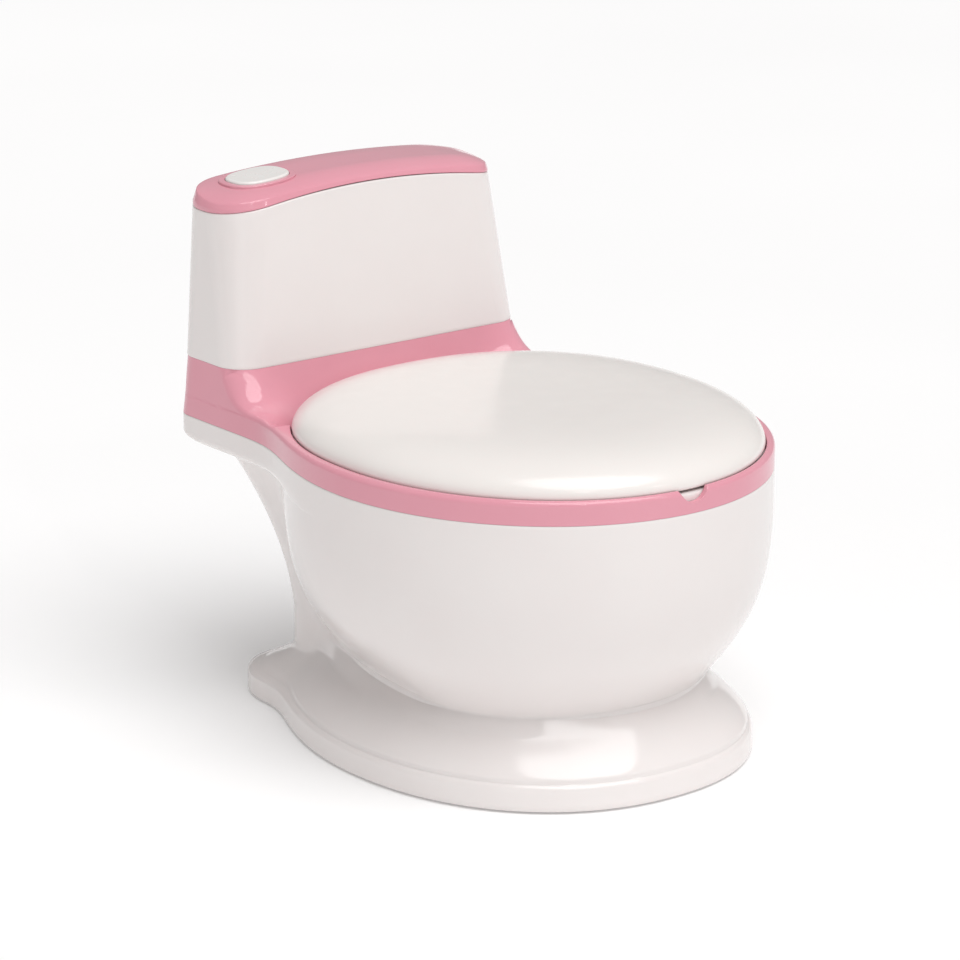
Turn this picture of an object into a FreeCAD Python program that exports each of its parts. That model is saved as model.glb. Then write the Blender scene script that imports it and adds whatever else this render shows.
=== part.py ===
import FreeCAD, Part
import math
import os

# Potty training chair shaped like a small toilet.  Millimetres, +Z up, the front faces -Y.
# The sub-parts are modelled about the centre of the bowl and are moved at the end, so that the
# origin lies on the floor in the middle of the whole chair's box.

# ---------------------------------------------------------------- driving dimensions
BAND_Z = 183.0              # parting line between the white body and the pink deck
DECK_TOP = 198.0            # top of the pink ring round the lid
TANK_Z = 220.2              # seam between the deck's plinth and the tank
TANK_TOP = 315.4            # seam between tank and tank lid, at the tank's sides
TANK_ARCH = 10.5            # how much higher that seam is in the middle
FOOT_GAP = 1.2              # the foot's rim stands this far above the floor, on rubber pads

BOWL_HALF_WIDTH = 145.0
BOWL_HALF_LENGTH = 158.5
BACK_Y = 226.5              # rearmost point: the back of the tank lid
WALL = 3.0
GAP = 0.3                   # clearance between pieces that are handled separately

NECK_TOP = 50.0             # the bowl starts here
NECK_BOTTOM = 40.0          # the foot's sloping top ends here
RIM_Z = 15.0                # top of the foot's upright rim
SHELF_Z = 162.0             # underside of the shelf that carries the tank

SHELF_ROUND = 9.0           # height over which the shelf's underside rounds into its side
SHELF_HALF_WIDTH = 118.0
SHELF_BACK = 219.0
SHELF_CORNER = 20.0
SIDE_POWER = 12             # sharpness of the blend between bowl and rear block
FOOT_NOSE_POWER = 2.18      # the foot's front is a little squarer than an oval

LUG_Z = (150.0, 154.0)      # lugs inside the body that the deck is screwed to
SCREW_SPOTS = [(118.0, -52.0), (-118.0, -52.0), (70.0, 190.0), (-70.0, 190.0)]
PAD_SPOTS = [(88.0, -84.0), (-88.0, -84.0), (72.0, 166.0), (-72.0, 166.0)]
PAD_RADIUS = 7.0
PAD_RECESS = 1.2

# lid
LID_HALF_WIDTH = 137.35
LID_FRONT = 154.1
LID_REAR = 144.0
LID_EDGE_Z = 198.2
LID_RISE = 22.1
LID_RIM_BOTTOM = 196.4
LID_WALL = 2.5
LINER_BOTTOM = 196.8
LINER_TOP = 198.8
RING_GAP = 1.25             # gap between the lid and the pink ring
BUMPER_SPOTS = [(105.0, -55.0), (-105.0, -55.0), (108.0, 45.0), (-108.0, 45.0)]
BUMPER_RADIUS = 4.0
BUMPER_RECESS = 0.8

# hinge
HINGE_Y = 118.0
HINGE_Z = 192.8
PIN_RADIUS = 1.5
KNUCKLE_RADIUS = 3.4
HINGE_X = 60.0              # middle of each hinge
EAR_WIDTH = 17.0
LUG_WIDTH = 6.0
BRIDGE_FRONT = 106.0        # the wall between the seat recess and the lid well
BRIDGE_BACK = 112.0
WELL_FLOOR = 161.5          # the lid's rear swings down into this well
WELL_MARGIN = 2.0
TROUGH_FLOOR = 184.5        # behind the lid the deck dips to here, clear of the lid's swing
TROUGH_RADIUS = 29.5        # clearance round the hinge axis in the middle
TROUGH_HALF_WIDTH = 108.0
FLARE_REACH = 15.0          # how far the plinth's front sweeps forward
FLARE_POWER = 2.7
FLARE_BASE_Z = DECK_TOP - 1.5
PLINTH_DRAFT = 0.117        # widening of the plinth per millimetre down from the tank
NOTCH_RADIUS = 11.0         # finger notch in the front of the ring

# seat and pot
SEAT_FLOOR = 186.0
SEAT_TOP = 194.6
SEAT_HOLE = (74.0, 98.0, 78.0)      # half width, reach to the front, reach to the rear
POT_RIM = (100.0, 124.0, 98.0)
POT_MOUTH = (88.0, 112.0, 86.0)
POT_BASE = (60.0, 78.0, 58.0)
POT_BOTTOM = 62.0
POT_WALL = 2.5

# tank
TANK_BASE = (113.65, 151.15, 219.7, 17.5)     # half width, front, back, corner radius
TANK_CREST = (107.6, 161.3, 226.5, 30.0)
TANK_LID_EDGE = 11.2        # height of the tank lid's edge above the seam
TANK_LID_CROWN = 6.7
TANK_LID_INSET = 4.2
PLATE = 3.2                 # thickness of the deck's plate under the tank
TANK_SCREW_SPOTS = [(98.0, 168.0), (-98.0, 168.0), (98.0, 203.0), (-98.0, 203.0)]

# flush button and its sound module
BUTTON_X = -65.0
BUTTON_Y = 195.5
BUTTON_HALF = (20.0, 16.5)
BUTTON_TOP = 333.2          # in the middle of the button
BUTTON_SLOPE = 0.0815       # rise along X of the tank lid's surface under the button
BUTTON_TRAVEL = 2.5
BEZEL_WIDTH = 3.0
BEZEL_FLANGE_Z = BUTTON_TOP - 3.2
CASE_X = (-97.5, -17.5)
CASE_Y = (173.0, 214.5)
CASE_Z = (276.0, 306.0)
CASE_WALL = 2.0
CELL_RADIUS = 5.25          # AAA cell
CELL_LENGTH = 44.5
SWITCH_TOP = CASE_Z[1] - 1.5
BOARD_Z = (CASE_Z[1] - 8.0, CASE_Z[1] - 6.4)
CASE_SCREW_SPOTS = [(CASE_X[0] + 5.0, CASE_Y[0] + 5.0), (CASE_X[1] - 5.0, CASE_Y[0] + 5.0),
                    (CASE_X[0] + 5.0, CASE_Y[1] - 5.0), (CASE_X[1] - 5.0, CASE_Y[1] - 5.0)]
SPEAKER_RADIUS = 10.5
SPEAKER_X = CASE_X[1] - CASE_WALL - SPEAKER_RADIUS - 0.5
SPEAKER_Y = (CASE_Y[0] + CASE_Y[1]) / 2
CONTACT = 0.4               # thickness of the battery contacts
CELL_X = (CASE_X[0] + CASE_WALL + CONTACT, CASE_X[0] + CASE_WALL + CONTACT + CELL_LENGTH)
CELL_Y = [SPEAKER_Y - CELL_RADIUS - 0.6, SPEAKER_Y + CELL_RADIUS + 0.6]
CELL_Z = CASE_Z[0] + CASE_WALL + CELL_RADIUS + 0.4
CELL_RIB_X = (CELL_X[1] + CONTACT, CELL_X[1] + CONTACT + 1.5)
DOOR_SCREW_X = CELL_RIB_X[1] + 4.0
DOOR_X = (CASE_X[0] + 4.0, DOOR_SCREW_X + 3.0)
DOOR_Y = (CASE_Y[0] + 9.5, CASE_Y[1] - 9.5)
DOOR_THICKNESS = 1.2

ORIGIN_Y = (BACK_Y - BOWL_HALF_LENGTH) / 2


# ---------------------------------------------------------------- drawing helpers
def vec(x, y, z):
    return FreeCAD.Vector(x, y, z)


def mix(start, end, amount):
    return start + (end - start) * amount


def signed_power(value, power):
    return math.copysign(abs(value) ** power, value)


def box(x_range, y_range, z_range):
    size = [high - low for low, high in (x_range, y_range, z_range)]
    return Part.makeBox(*size, vec(x_range[0], y_range[0], z_range[0]))


def cylinder_z(x, y, z_range, radius):
    return Part.makeCylinder(radius, z_range[1] - z_range[0], vec(x, y, z_range[0]), vec(0, 0, 1))


def cylinder_x(x_range, y, z, radius):
    return Part.makeCylinder(radius, x_range[1] - x_range[0], vec(x_range[0], y, z), vec(1, 0, 0))


def loft(wires):
    return Part.makeLoft(wires, True, True)


def prism(wire, height):
    return Part.Face(wire).extrude(vec(0, 0, height))


def fuse(shapes):
    return shapes[0].fuse(shapes[1:]).removeSplitter()


def spline(points, closed):
    curve = Part.BSplineCurve()
    curve.interpolate(Points=points, PeriodicFlag=closed)
    return curve.toShape()


def egg(half_width, front, rear, z, front_power=2.0, rear_power=2.0):
    """Closed oval with its own reach and roundness in front of and behind its centre."""
    points = []
    count = 48
    for step in range(count):
        angle = 2 * math.pi * (step + 0.5) / count
        ahead = math.sin(angle) < 0
        power = front_power if ahead else rear_power
        reach = front if ahead else rear
        x = half_width * signed_power(math.cos(angle), 2 / power)
        y = reach * signed_power(math.sin(angle), 2 / power)
        points.append(vec(x, y, z))
    return Part.Wire(spline(points, True))


def keyhole(bowl, block, nose_power, z):
    """Oval bowl blended into a rear block with round corners, seen from above.

    bowl is (half width, centre, front, rear) and block is (half width, back, corner radius);
    all but the half widths and the radius are positions along Y.  nose_power is 2 for a true oval.
    """
    half_width, centre, front, rear = bowl
    block_half, back, corner = block
    straight_end = back - corner

    def side(y):
        reach = rear - centre
        along = min(1.0, (y - centre) / reach)
        oval = half_width * math.sqrt(1 - along * along)
        return (oval ** SIDE_POWER + block_half ** SIDE_POWER) ** (1 / SIDE_POWER)

    widest = side(centre)
    side_count = 12
    right = []
    for step in range(side_count):
        y = mix(straight_end, centre, step / side_count)
        right.append(vec(side(y) if step else block_half, y, z))
    nose = []
    nose_count = 16
    for step in range(nose_count + 1):
        angle = math.pi * step / nose_count
        across = signed_power(math.cos(angle), 2 / nose_power)
        ahead = signed_power(math.sin(angle), 2 / nose_power)
        nose.append(vec(widest * across, centre - (centre - front) * ahead, z))
    left = [vec(-point.x, point.y, z) for point in reversed(right)]
    inner = block_half - corner
    diagonal = corner * math.sqrt(0.5)
    back_left = Part.Arc(vec(-block_half, straight_end, z),
                         vec(-inner - diagonal, straight_end + diagonal, z),
                         vec(-inner, back, z))
    back_right = Part.Arc(vec(inner, back, z),
                          vec(inner + diagonal, straight_end + diagonal, z),
                          vec(block_half, straight_end, z))
    back_line = Part.LineSegment(vec(-inner, back, z), vec(inner, back, z))
    return Part.Wire([spline(right + nose + left, False), back_left.toShape(), back_line.toShape(),
                      back_right.toShape()])


def rounded_box(half_width, front, back, corner, z):
    """Rectangle with round corners, seen from above."""
    inner = half_width - corner
    low = front + corner
    high = back - corner
    diagonal = corner * math.sqrt(0.5)
    corners = [(inner, low, 1, -1), (inner, high, 1, 1), (-inner, high, -1, 1), (-inner, low, -1, -1)]
    edges = []
    ends = []
    for x, y, sign_x, sign_y in corners:
        across = vec(x + sign_x * corner, y, z)
        along = vec(x, y + sign_y * corner, z)
        start, end = (along, across) if sign_x * sign_y < 0 else (across, along)
        edges.append(Part.Arc(start, vec(x + sign_x * diagonal, y + sign_y * diagonal, z), end).toShape())
        ends.append((start, end))
    wire_edges = []
    for index in range(4):
        wire_edges.append(edges[index])
        wire_edges.append(Part.LineSegment(ends[index][1], ends[(index + 1) % 4][0]).toShape())
    return Part.Wire(wire_edges)


def under_arch(edge_z, rise, half_span):
    """Everything below a shallow arch across X; edge_z is its height at x = half_span."""
    reach = 140.0
    floor_z = 150.0
    low_z = edge_z + rise * (1 - (reach / half_span) ** 2)
    arch = Part.Arc(vec(-reach, 100.0, low_z), vec(0, 100.0, edge_z + rise), vec(reach, 100.0, low_z))
    corners = [vec(reach, 100.0, low_z), vec(reach, 100.0, floor_z), vec(-reach, 100.0, floor_z),
               vec(-reach, 100.0, low_z)]
    sides = [Part.LineSegment(start, end).toShape() for start, end in zip(corners, corners[1:])]
    return Part.Face(Part.Wire([arch.toShape()] + sides)).extrude(vec(0, 200.0, 0))


# ---------------------------------------------------------------- body shell
def bowl_at(z):
    if z >= NECK_TOP:
        height = (z - NECK_TOP) / (BAND_Z - NECK_TOP)
        spread = (1 - (1 - min(height, 1.0)) ** 3.6) ** 1.24
        return (mix(98.4, BOWL_HALF_WIDTH + 0.3, spread), mix(-28.0, 0.0, spread),
                mix(-114.0, -BOWL_HALF_LENGTH, spread), 162.0)
    if z >= NECK_BOTTOM:
        flare = (NECK_TOP - z) / (NECK_TOP - NECK_BOTTOM)
        return (mix(98.4, 108.1, flare), mix(-28.0, -9.5, flare), mix(-114.0, -124.5, flare),
                mix(162.0, 150.0, flare))
    slope = (NECK_BOTTOM - max(z, RIM_Z)) / (NECK_BOTTOM - RIM_Z)
    spread = 1 - (1 - slope) ** 1.25
    rim = 0.6 * (RIM_Z - min(z, RIM_Z)) / RIM_Z
    return (mix(108.1, 131.9, spread) + rim, mix(-9.5, 9.2, spread),
            mix(-124.5, -145.0, spread) - rim, mix(150.0, 176.0, spread))


def block_at(z):
    widening = max(0.0, (z - 70.0) / (SHELF_Z - 70.0))
    leaning = max(0.0, (z - 60.0) / (SHELF_Z - 60.0))
    flare = min(1.0, max(0.0, (30.0 - z) / (30.0 - RIM_Z))) ** 2.0
    half_width = 75.0 + 25.0 * widening ** 1.9 + 24.0 * flare
    back = 174.0 + 36.0 * leaning ** 1.1 + 24.0 * flare
    return half_width, back, mix(40.0, 48.0, flare)


def body_outline(z, shape_z, inset):
    """Section of the body at height z, taken from the outer shape at shape_z and drawn in by inset."""
    bowl = bowl_at(shape_z)
    block = block_at(min(shape_z, SHELF_Z))
    if shape_z > SHELF_Z:
        climb = min(1.0, (shape_z - SHELF_Z) / SHELF_ROUND)
        rounding = math.sqrt(1 - (1 - climb) ** 2)
        shelf = (SHELF_HALF_WIDTH, SHELF_BACK, SHELF_CORNER)
        block = [mix(narrow, wide, rounding) for narrow, wide in zip(block, shelf)]
    half_width = (bowl[0] ** SIDE_POWER - block[0] ** SIDE_POWER) ** (1 / SIDE_POWER)
    bowl = (half_width - inset, bowl[1], bowl[2] + inset, bowl[3] - inset)
    block = (block[0] - inset, block[1] - inset, block[2] - inset)
    foot_share = min(1.0, max(0.0, (NECK_BOTTOM - shape_z) / (NECK_BOTTOM - RIM_Z)))
    return keyhole(bowl, block, mix(2.0, FOOT_NOSE_POWER, foot_share), z)


def deck_outline(z, inset=0.0):
    return body_outline(z, BAND_Z, inset)


def body_levels():
    foot = [FOOT_GAP, 8.0, RIM_Z, 19.0, 24.0, 29.0, 34.0, NECK_BOTTOM]
    bowl = [NECK_TOP, 56.0, 63.0, 72.0, 83.0, 96.0, 112.0, 130.0, 148.0, SHELF_Z - 0.1]
    shelf = [SHELF_Z + 0.2, SHELF_Z + 1.2, SHELF_Z + 3.0, SHELF_Z + 5.5, SHELF_Z + SHELF_ROUND, BAND_Z]
    return foot + bowl + shelf


def inner_shape_z(z):
    """Height of the outer section that the inside follows, so that sloping walls keep their thickness."""
    if z < NECK_BOTTOM:
        return max(z + WALL * 0.7, FOOT_GAP)
    if z > SHELF_Z - 1:
        return min(z - WALL, BAND_Z)
    return z


def body_shell():
    levels = body_levels()
    outer = loft([body_outline(z, z, 0.0) for z in levels])
    inner_levels = [z for z in levels if z > FOOT_GAP]
    inner = []
    for z in [FOOT_GAP - 1.0] + inner_levels + [BAND_Z + 1.0]:
        inner.append(body_outline(z, inner_shape_z(z), WALL))
    shell = outer.cut(loft(inner))
    flange = prism(body_outline(FOOT_GAP, FOOT_GAP, 1.0), 3.0)
    flange = flange.cut(prism(body_outline(FOOT_GAP - 1.0, FOOT_GAP, 24.0), 6.0))
    additions = [flange]
    for x, y in SCREW_SPOTS:
        reach = 40.0 if x > 0 else -40.0
        tab = box(sorted((x - reach / 4, x + reach)), (y - 9.0, y + 9.0), LUG_Z)
        additions.append(tab.common(outer))
    shell = fuse([shell] + additions)
    for x, y in SCREW_SPOTS:
        shell = shell.cut(cylinder_z(x, y, (LUG_Z[0] - 1, LUG_Z[1] + 1), 2.3))
    for x, y in PAD_SPOTS:
        shell = shell.cut(cylinder_z(x, y, (0.0, FOOT_GAP + PAD_RECESS), PAD_RADIUS + 0.1))
    return shell


def foot_pads():
    pads = [cylinder_z(x, y, (0.0, FOOT_GAP + PAD_RECESS), PAD_RADIUS) for x, y in PAD_SPOTS]
    return Part.makeCompound(pads)


# ---------------------------------------------------------------- seat deck
def lid_outline(z, margin=0.0):
    return egg(LID_HALF_WIDTH + margin, LID_FRONT + margin, LID_REAR + margin, z, 2.02, 2.3)


def flare_front(z):
    """Front of the plinth at height z: upright at the tank, sweeping forward at the ring."""
    rise = max(0.0, (z - FLARE_BASE_Z) / (TANK_Z - FLARE_BASE_Z))
    return TANK_BASE[1] - FLARE_REACH * (1 - rise ** (1 / FLARE_POWER))


def plinth():
    levels = [BAND_Z + 6.0, FLARE_BASE_Z, 196.8, 197.3, DECK_TOP, 199.0, 200.5, 202.5, 205.0, 208.0, 211.5,
              215.5, TANK_Z]
    wires = []
    for z in levels:
        half_width = TANK_BASE[0] + PLINTH_DRAFT * (TANK_Z - z)
        wires.append(rounded_box(half_width, flare_front(z), TANK_BASE[2], TANK_BASE[3], z))
    return loft(wires)


def hinge_trough():
    """Spindle round the hinge axis: the space that the lid's crown swings through."""
    circles = []
    for step in range(-8, 9):
        along = 0.995 * math.sin(math.pi / 2 * step / 8)
        radius = TROUGH_RADIUS * (1 - along ** 4) ** 0.6
        middle = vec(along * TROUGH_HALF_WIDTH, HINGE_Y, HINGE_Z)
        circles.append(Part.Wire(Part.makeCircle(radius, middle, vec(1, 0, 0))))
    return loft(circles).common(box((-120.0, 120.0), (BRIDGE_BACK, 160.0), (TROUGH_FLOOR, 230.0)))


def plinth_hollow():
    wires = []
    for z in (BAND_Z - 4.0, DECK_TOP, TANK_Z - PLATE):
        half_width = TANK_BASE[0] - WALL + PLINTH_DRAFT / 2 * (TANK_Z - z)
        wires.append(rounded_box(half_width, TANK_BASE[1] + 0.8, TANK_BASE[2] - WALL, 14.0, z))
    return loft(wires)


def hinge_ranges(inner, outer):
    """Spans along X at both hinges, from offsets either side of the hinge's middle."""
    spans = []
    for middle in (HINGE_X, -HINGE_X):
        spans.append((middle + inner, middle + outer))
    return spans


def hinge_lug(x_range):
    lug = cylinder_x(x_range, HINGE_Y, HINGE_Z, KNUCKLE_RADIUS)
    bracket = box(x_range, (BRIDGE_BACK - 0.5, HINGE_Y), (HINGE_Z - KNUCKLE_RADIUS, HINGE_Z + 1.5))
    return lug.fuse(bracket)


LUG_SPANS = (hinge_ranges(EAR_WIDTH / 2 + GAP, EAR_WIDTH / 2 + GAP + LUG_WIDTH)
             + hinge_ranges(-EAR_WIDTH / 2 - GAP - LUG_WIDTH, -EAR_WIDTH / 2 - GAP))


def seat_deck():
    ring = prism(deck_outline(BAND_Z), DECK_TOP - BAND_Z)
    rim_edges = [edge for edge in ring.Edges if edge.BoundBox.ZMin > DECK_TOP - 0.01]
    ring = ring.makeFillet(3.0, rim_edges)
    outer = ring.fuse(plinth())
    deck = outer.cut(plinth_hollow())
    well_tub = prism(lid_outline(WELL_FLOOR - WALL, WELL_MARGIN + WALL), SEAT_FLOOR - WELL_FLOOR + WALL)
    well_slice = box((-110.0, 110.0), (BRIDGE_BACK - WALL, 200.0), (WELL_FLOOR - WALL, SEAT_FLOOR))
    deck = deck.fuse(well_tub.common(well_slice))
    recess = prism(lid_outline(SEAT_FLOOR, RING_GAP), 40.0)
    recess = recess.common(box((-200.0, 200.0), (-200.0, BRIDGE_FRONT), (0.0, 300.0)))
    deck = deck.cut(recess)
    lid_room = prism(lid_outline(SEAT_TOP, WELL_MARGIN), 40.0)
    deck = deck.cut(lid_room.common(box((-200.0, 200.0), (BRIDGE_FRONT - 1.0, 200.0), (0.0, 300.0))))
    well = prism(lid_outline(WELL_FLOOR, WELL_MARGIN), 60.0)
    deck = deck.cut(well.common(box((-95.0, 95.0), (BRIDGE_BACK, 200.0), (0.0, 300.0))))
    deck = deck.cut(hinge_trough())
    mouth = prism(egg(POT_MOUTH[0] + 4.0, POT_MOUTH[1] + 4.0, POT_MOUTH[2] + 4.0, BAND_Z - 1.0), 10.0)
    deck = deck.cut(mouth)
    notch = Part.makeSphere(NOTCH_RADIUS, vec(0, -BOWL_HALF_LENGTH + 2.0, DECK_TOP + 2.5))
    deck = deck.cut(notch)
    deck = deck.fuse([hinge_lug(span) for span in LUG_SPANS])
    posts = []
    for x, y in SCREW_SPOTS:
        top_z = SEAT_FLOOR if y < BRIDGE_FRONT else TANK_Z
        posts.append(cylinder_z(x, y, (LUG_Z[1], top_z - 0.5), 5.0))
    deck = deck.fuse(posts).removeSplitter()
    for x, y in SCREW_SPOTS:
        deck = deck.cut(cylinder_z(x, y, (LUG_Z[1] - 1.0, LUG_Z[1] + 12.0), 1.9))
    for x, y in TANK_SCREW_SPOTS:
        deck = deck.cut(cylinder_z(x, y, (TANK_Z - PLATE - 1.0, TANK_Z + 1.0), 2.3))
    for middle in (HINGE_X, -HINGE_X):
        deck = deck.cut(cylinder_x(pin_span(middle), HINGE_Y, HINGE_Z, PIN_RADIUS))
    return deck


def pin_span(middle):
    reach = EAR_WIDTH / 2 + GAP + LUG_WIDTH - 1.0
    return (middle - reach, middle + reach)


def hinge_pins():
    pins = [cylinder_x(pin_span(middle), HINGE_Y, HINGE_Z, PIN_RADIUS) for middle in (HINGE_X, -HINGE_X)]
    return Part.makeCompound(pins)


# ---------------------------------------------------------------- screws
def screw(x, y, seat_z, length, shank_radius, head_radius, head_height, upwards=True):
    """Pan-head screw; seat_z is the plane under its head and the shank runs away from it."""
    way = 1 if upwards else -1
    axis = vec(0, 0, way)
    shank = Part.makeCylinder(shank_radius, length, vec(x, y, seat_z), axis)
    head = Part.makeCylinder(head_radius, head_height, vec(x, y, seat_z), axis * -1)
    body = shank.fuse(head)
    slot_depth = head_height * 0.5
    slot_base = seat_z - way * head_height
    slot_z = sorted((slot_base, slot_base + way * slot_depth))
    reach = head_radius * 0.62
    half = head_radius * 0.14
    body = body.cut(box((x - reach, x + reach), (y - half, y + half), slot_z))
    return body.cut(box((x - half, x + half), (y - reach, y + reach), slot_z))


def deck_screws():
    return Part.makeCompound([screw(x, y, LUG_Z[0], 14.0, 1.9, 4.0, 2.6) for x, y in SCREW_SPOTS])


def tank_screws():
    seat = TANK_Z - PLATE
    return Part.makeCompound([screw(x, y, seat, 13.0, 1.9, 4.0, 2.6) for x, y in TANK_SCREW_SPOTS])


# ---------------------------------------------------------------- seat ring and pot
def seat_ring():
    base = SEAT_FLOOR + 0.1
    ring = prism(lid_outline(base, RING_GAP - 0.8), SEAT_TOP - base)
    ring = ring.makeFillet(2.5, [edge for edge in ring.Edges if edge.BoundBox.ZMin > SEAT_TOP - 0.01])
    ring = ring.common(box((-200.0, 200.0), (-200.0, BRIDGE_FRONT - 0.8), (0.0, 300.0)))
    lip = [(base - 1.0, 0.0), (SEAT_TOP - 3.5, 0.0), (SEAT_TOP - 1.2, 1.0), (SEAT_TOP, 3.5),
           (SEAT_TOP + 2.0, 9.0)]
    hole = loft([egg(*[size + widening for size in SEAT_HOLE], z) for z, widening in lip])
    skirt = prism(egg(*[size + 4.0 for size in SEAT_HOLE], base - 2.0), 20.0)
    under = prism(lid_outline(base - 1.0, -5.0), SEAT_TOP - 3.0 - base + 1.0)
    under = under.common(box((-200.0, 200.0), (-200.0, BRIDGE_FRONT - 6.0), (0.0, 300.0)))
    return ring.cut(hole).cut(under.cut(skirt))


def pot_shape(mouth, base, bottom_z, top_z):
    wires = []
    steps = 9
    for step in range(steps + 1):
        rise = step / steps
        spread = math.sin(rise * math.pi / 2) ** 0.8
        reach = [mix(low, high, spread) for low, high in zip(base, mouth)]
        wires.append(egg(*reach, mix(bottom_z, top_z, rise ** 1.3)))
    return loft(wires)


def inner_pot():
    rim_z = SEAT_FLOOR + 0.1
    outer = pot_shape(POT_MOUTH, POT_BASE, POT_BOTTOM, rim_z + 1.0)
    rim = prism(egg(*POT_RIM, rim_z), 2.4)
    mouth = [size - POT_WALL for size in POT_MOUTH]
    base = [size - POT_WALL for size in POT_BASE]
    inside = pot_shape(mouth, base, POT_BOTTOM + POT_WALL, rim_z + 4.0)
    return outer.fuse(rim).cut(inside)


# ---------------------------------------------------------------- lid
def lid_wires(margin, top_z, bottom_z):
    wires = [lid_outline(bottom_z, -margin - 0.9), lid_outline(bottom_z + 0.8, -margin - 0.1)]
    for share in (1.0, 0.99, 0.97, 0.94, 0.9, 0.85, 0.78, 0.7, 0.6, 0.48, 0.34, 0.18):
        rise = (top_z - LID_EDGE_Z) * (1 - share ** 6) ** 0.54
        half_width = (LID_HALF_WIDTH - margin) * share
        front = (LID_FRONT - margin) * share
        rear = (LID_REAR - margin) * share
        wires.append(egg(half_width, front, rear, LID_EDGE_Z + rise, 2.02, 2.3))
    return wires


def lid_dome():
    outer = loft(lid_wires(0.0, LID_EDGE_Z + LID_RISE, LID_RIM_BOTTOM))
    inside = loft(lid_wires(LID_WALL, LID_EDGE_Z + LID_RISE - LID_WALL, LID_RIM_BOTTOM + 0.2))
    open_rim = prism(lid_outline(LID_RIM_BOTTOM - 1.0, -LID_WALL - 0.1), 3.0)
    return outer.cut(inside).cut(open_rim)


def lid_liner():
    plate = prism(lid_outline(LINER_BOTTOM, -LID_WALL - 0.3), LINER_TOP - LINER_BOTTOM)
    ears = []
    for span in hinge_ranges(-EAR_WIDTH / 2, EAR_WIDTH / 2):
        ears.append(cylinder_x(span, HINGE_Y, HINGE_Z, KNUCKLE_RADIUS))
        web_y = (HINGE_Y - KNUCKLE_RADIUS, HINGE_Y + KNUCKLE_RADIUS)
        ears.append(box(span, web_y, (HINGE_Z, LINER_BOTTOM + 0.5)))
    liner = plate.fuse(ears).removeSplitter()
    for middle in (HINGE_X, -HINGE_X):
        span = (middle - EAR_WIDTH, middle + EAR_WIDTH)
        liner = liner.cut(cylinder_x(span, HINGE_Y, HINGE_Z, PIN_RADIUS + 0.05))
    for x, y in BUMPER_SPOTS:
        liner = liner.cut(cylinder_z(x, y, (LINER_BOTTOM - 1.0, LINER_BOTTOM + BUMPER_RECESS), BUMPER_RADIUS))
    return liner


def lid_bumpers():
    z_range = (SEAT_TOP + GAP, LINER_BOTTOM + BUMPER_RECESS)
    return Part.makeCompound([cylinder_z(x, y, z_range, BUMPER_RADIUS) for x, y in BUMPER_SPOTS])


# ---------------------------------------------------------------- tank
def tank_block(low_z, high_z, inset):
    """Solid with the tank's outline, which leans back up to the seam and stands upright above it."""
    wires = []
    for z in sorted({low_z, max(low_z, TANK_TOP), high_z}):
        rise = (min(z, TANK_TOP) - TANK_Z) / (TANK_TOP - TANK_Z)
        half_width, front, back, corner = [mix(low, high, rise) for low, high in zip(TANK_BASE, TANK_CREST)]
        wires.append(rounded_box(half_width - inset, front + inset, back - inset, corner - inset, z))
    return loft(wires)


def tank_shell():
    outer = tank_block(TANK_Z, TANK_TOP + TANK_ARCH + 4.0, 0.0)
    inside = tank_block(TANK_Z - 4.0, TANK_TOP + TANK_ARCH + 8.0, WALL)
    shell = outer.cut(inside)
    bosses = [cylinder_z(x, y, (TANK_Z, TANK_Z + 16.0), 6.0) for x, y in TANK_SCREW_SPOTS]
    ribs = [box(sorted((x, math.copysign(111.0, x))), (y - 1.5, y + 1.5), (TANK_Z, TANK_Z + 16.0))
            for x, y in TANK_SCREW_SPOTS]
    shell = shell.fuse([piece.common(outer) for piece in bosses + ribs])
    for x, y in TANK_SCREW_SPOTS:
        shell = shell.cut(cylinder_z(x, y, (TANK_Z - 1.0, TANK_Z + 12.0), 1.9))
    return shell.common(under_arch(TANK_TOP - GAP, TANK_ARCH, TANK_CREST[0]))


def tank_lid_block(inset):
    """Blank of the tank lid, drawn in towards the top; the arches that bound it are cut later."""
    half_width, front, back, corner = TANK_CREST
    straight_top = TANK_TOP + 3.0
    slope = 0.8 * TANK_LID_INSET / TANK_LID_EDGE
    wires = []
    for z in (TANK_TOP - 4.0, straight_top, TANK_TOP + 24.0):
        draw_in = inset + max(0.0, z - straight_top) * slope
        wires.append(rounded_box(half_width - draw_in, front + draw_in, back - draw_in, corner - draw_in, z))
    return loft(wires)


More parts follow.
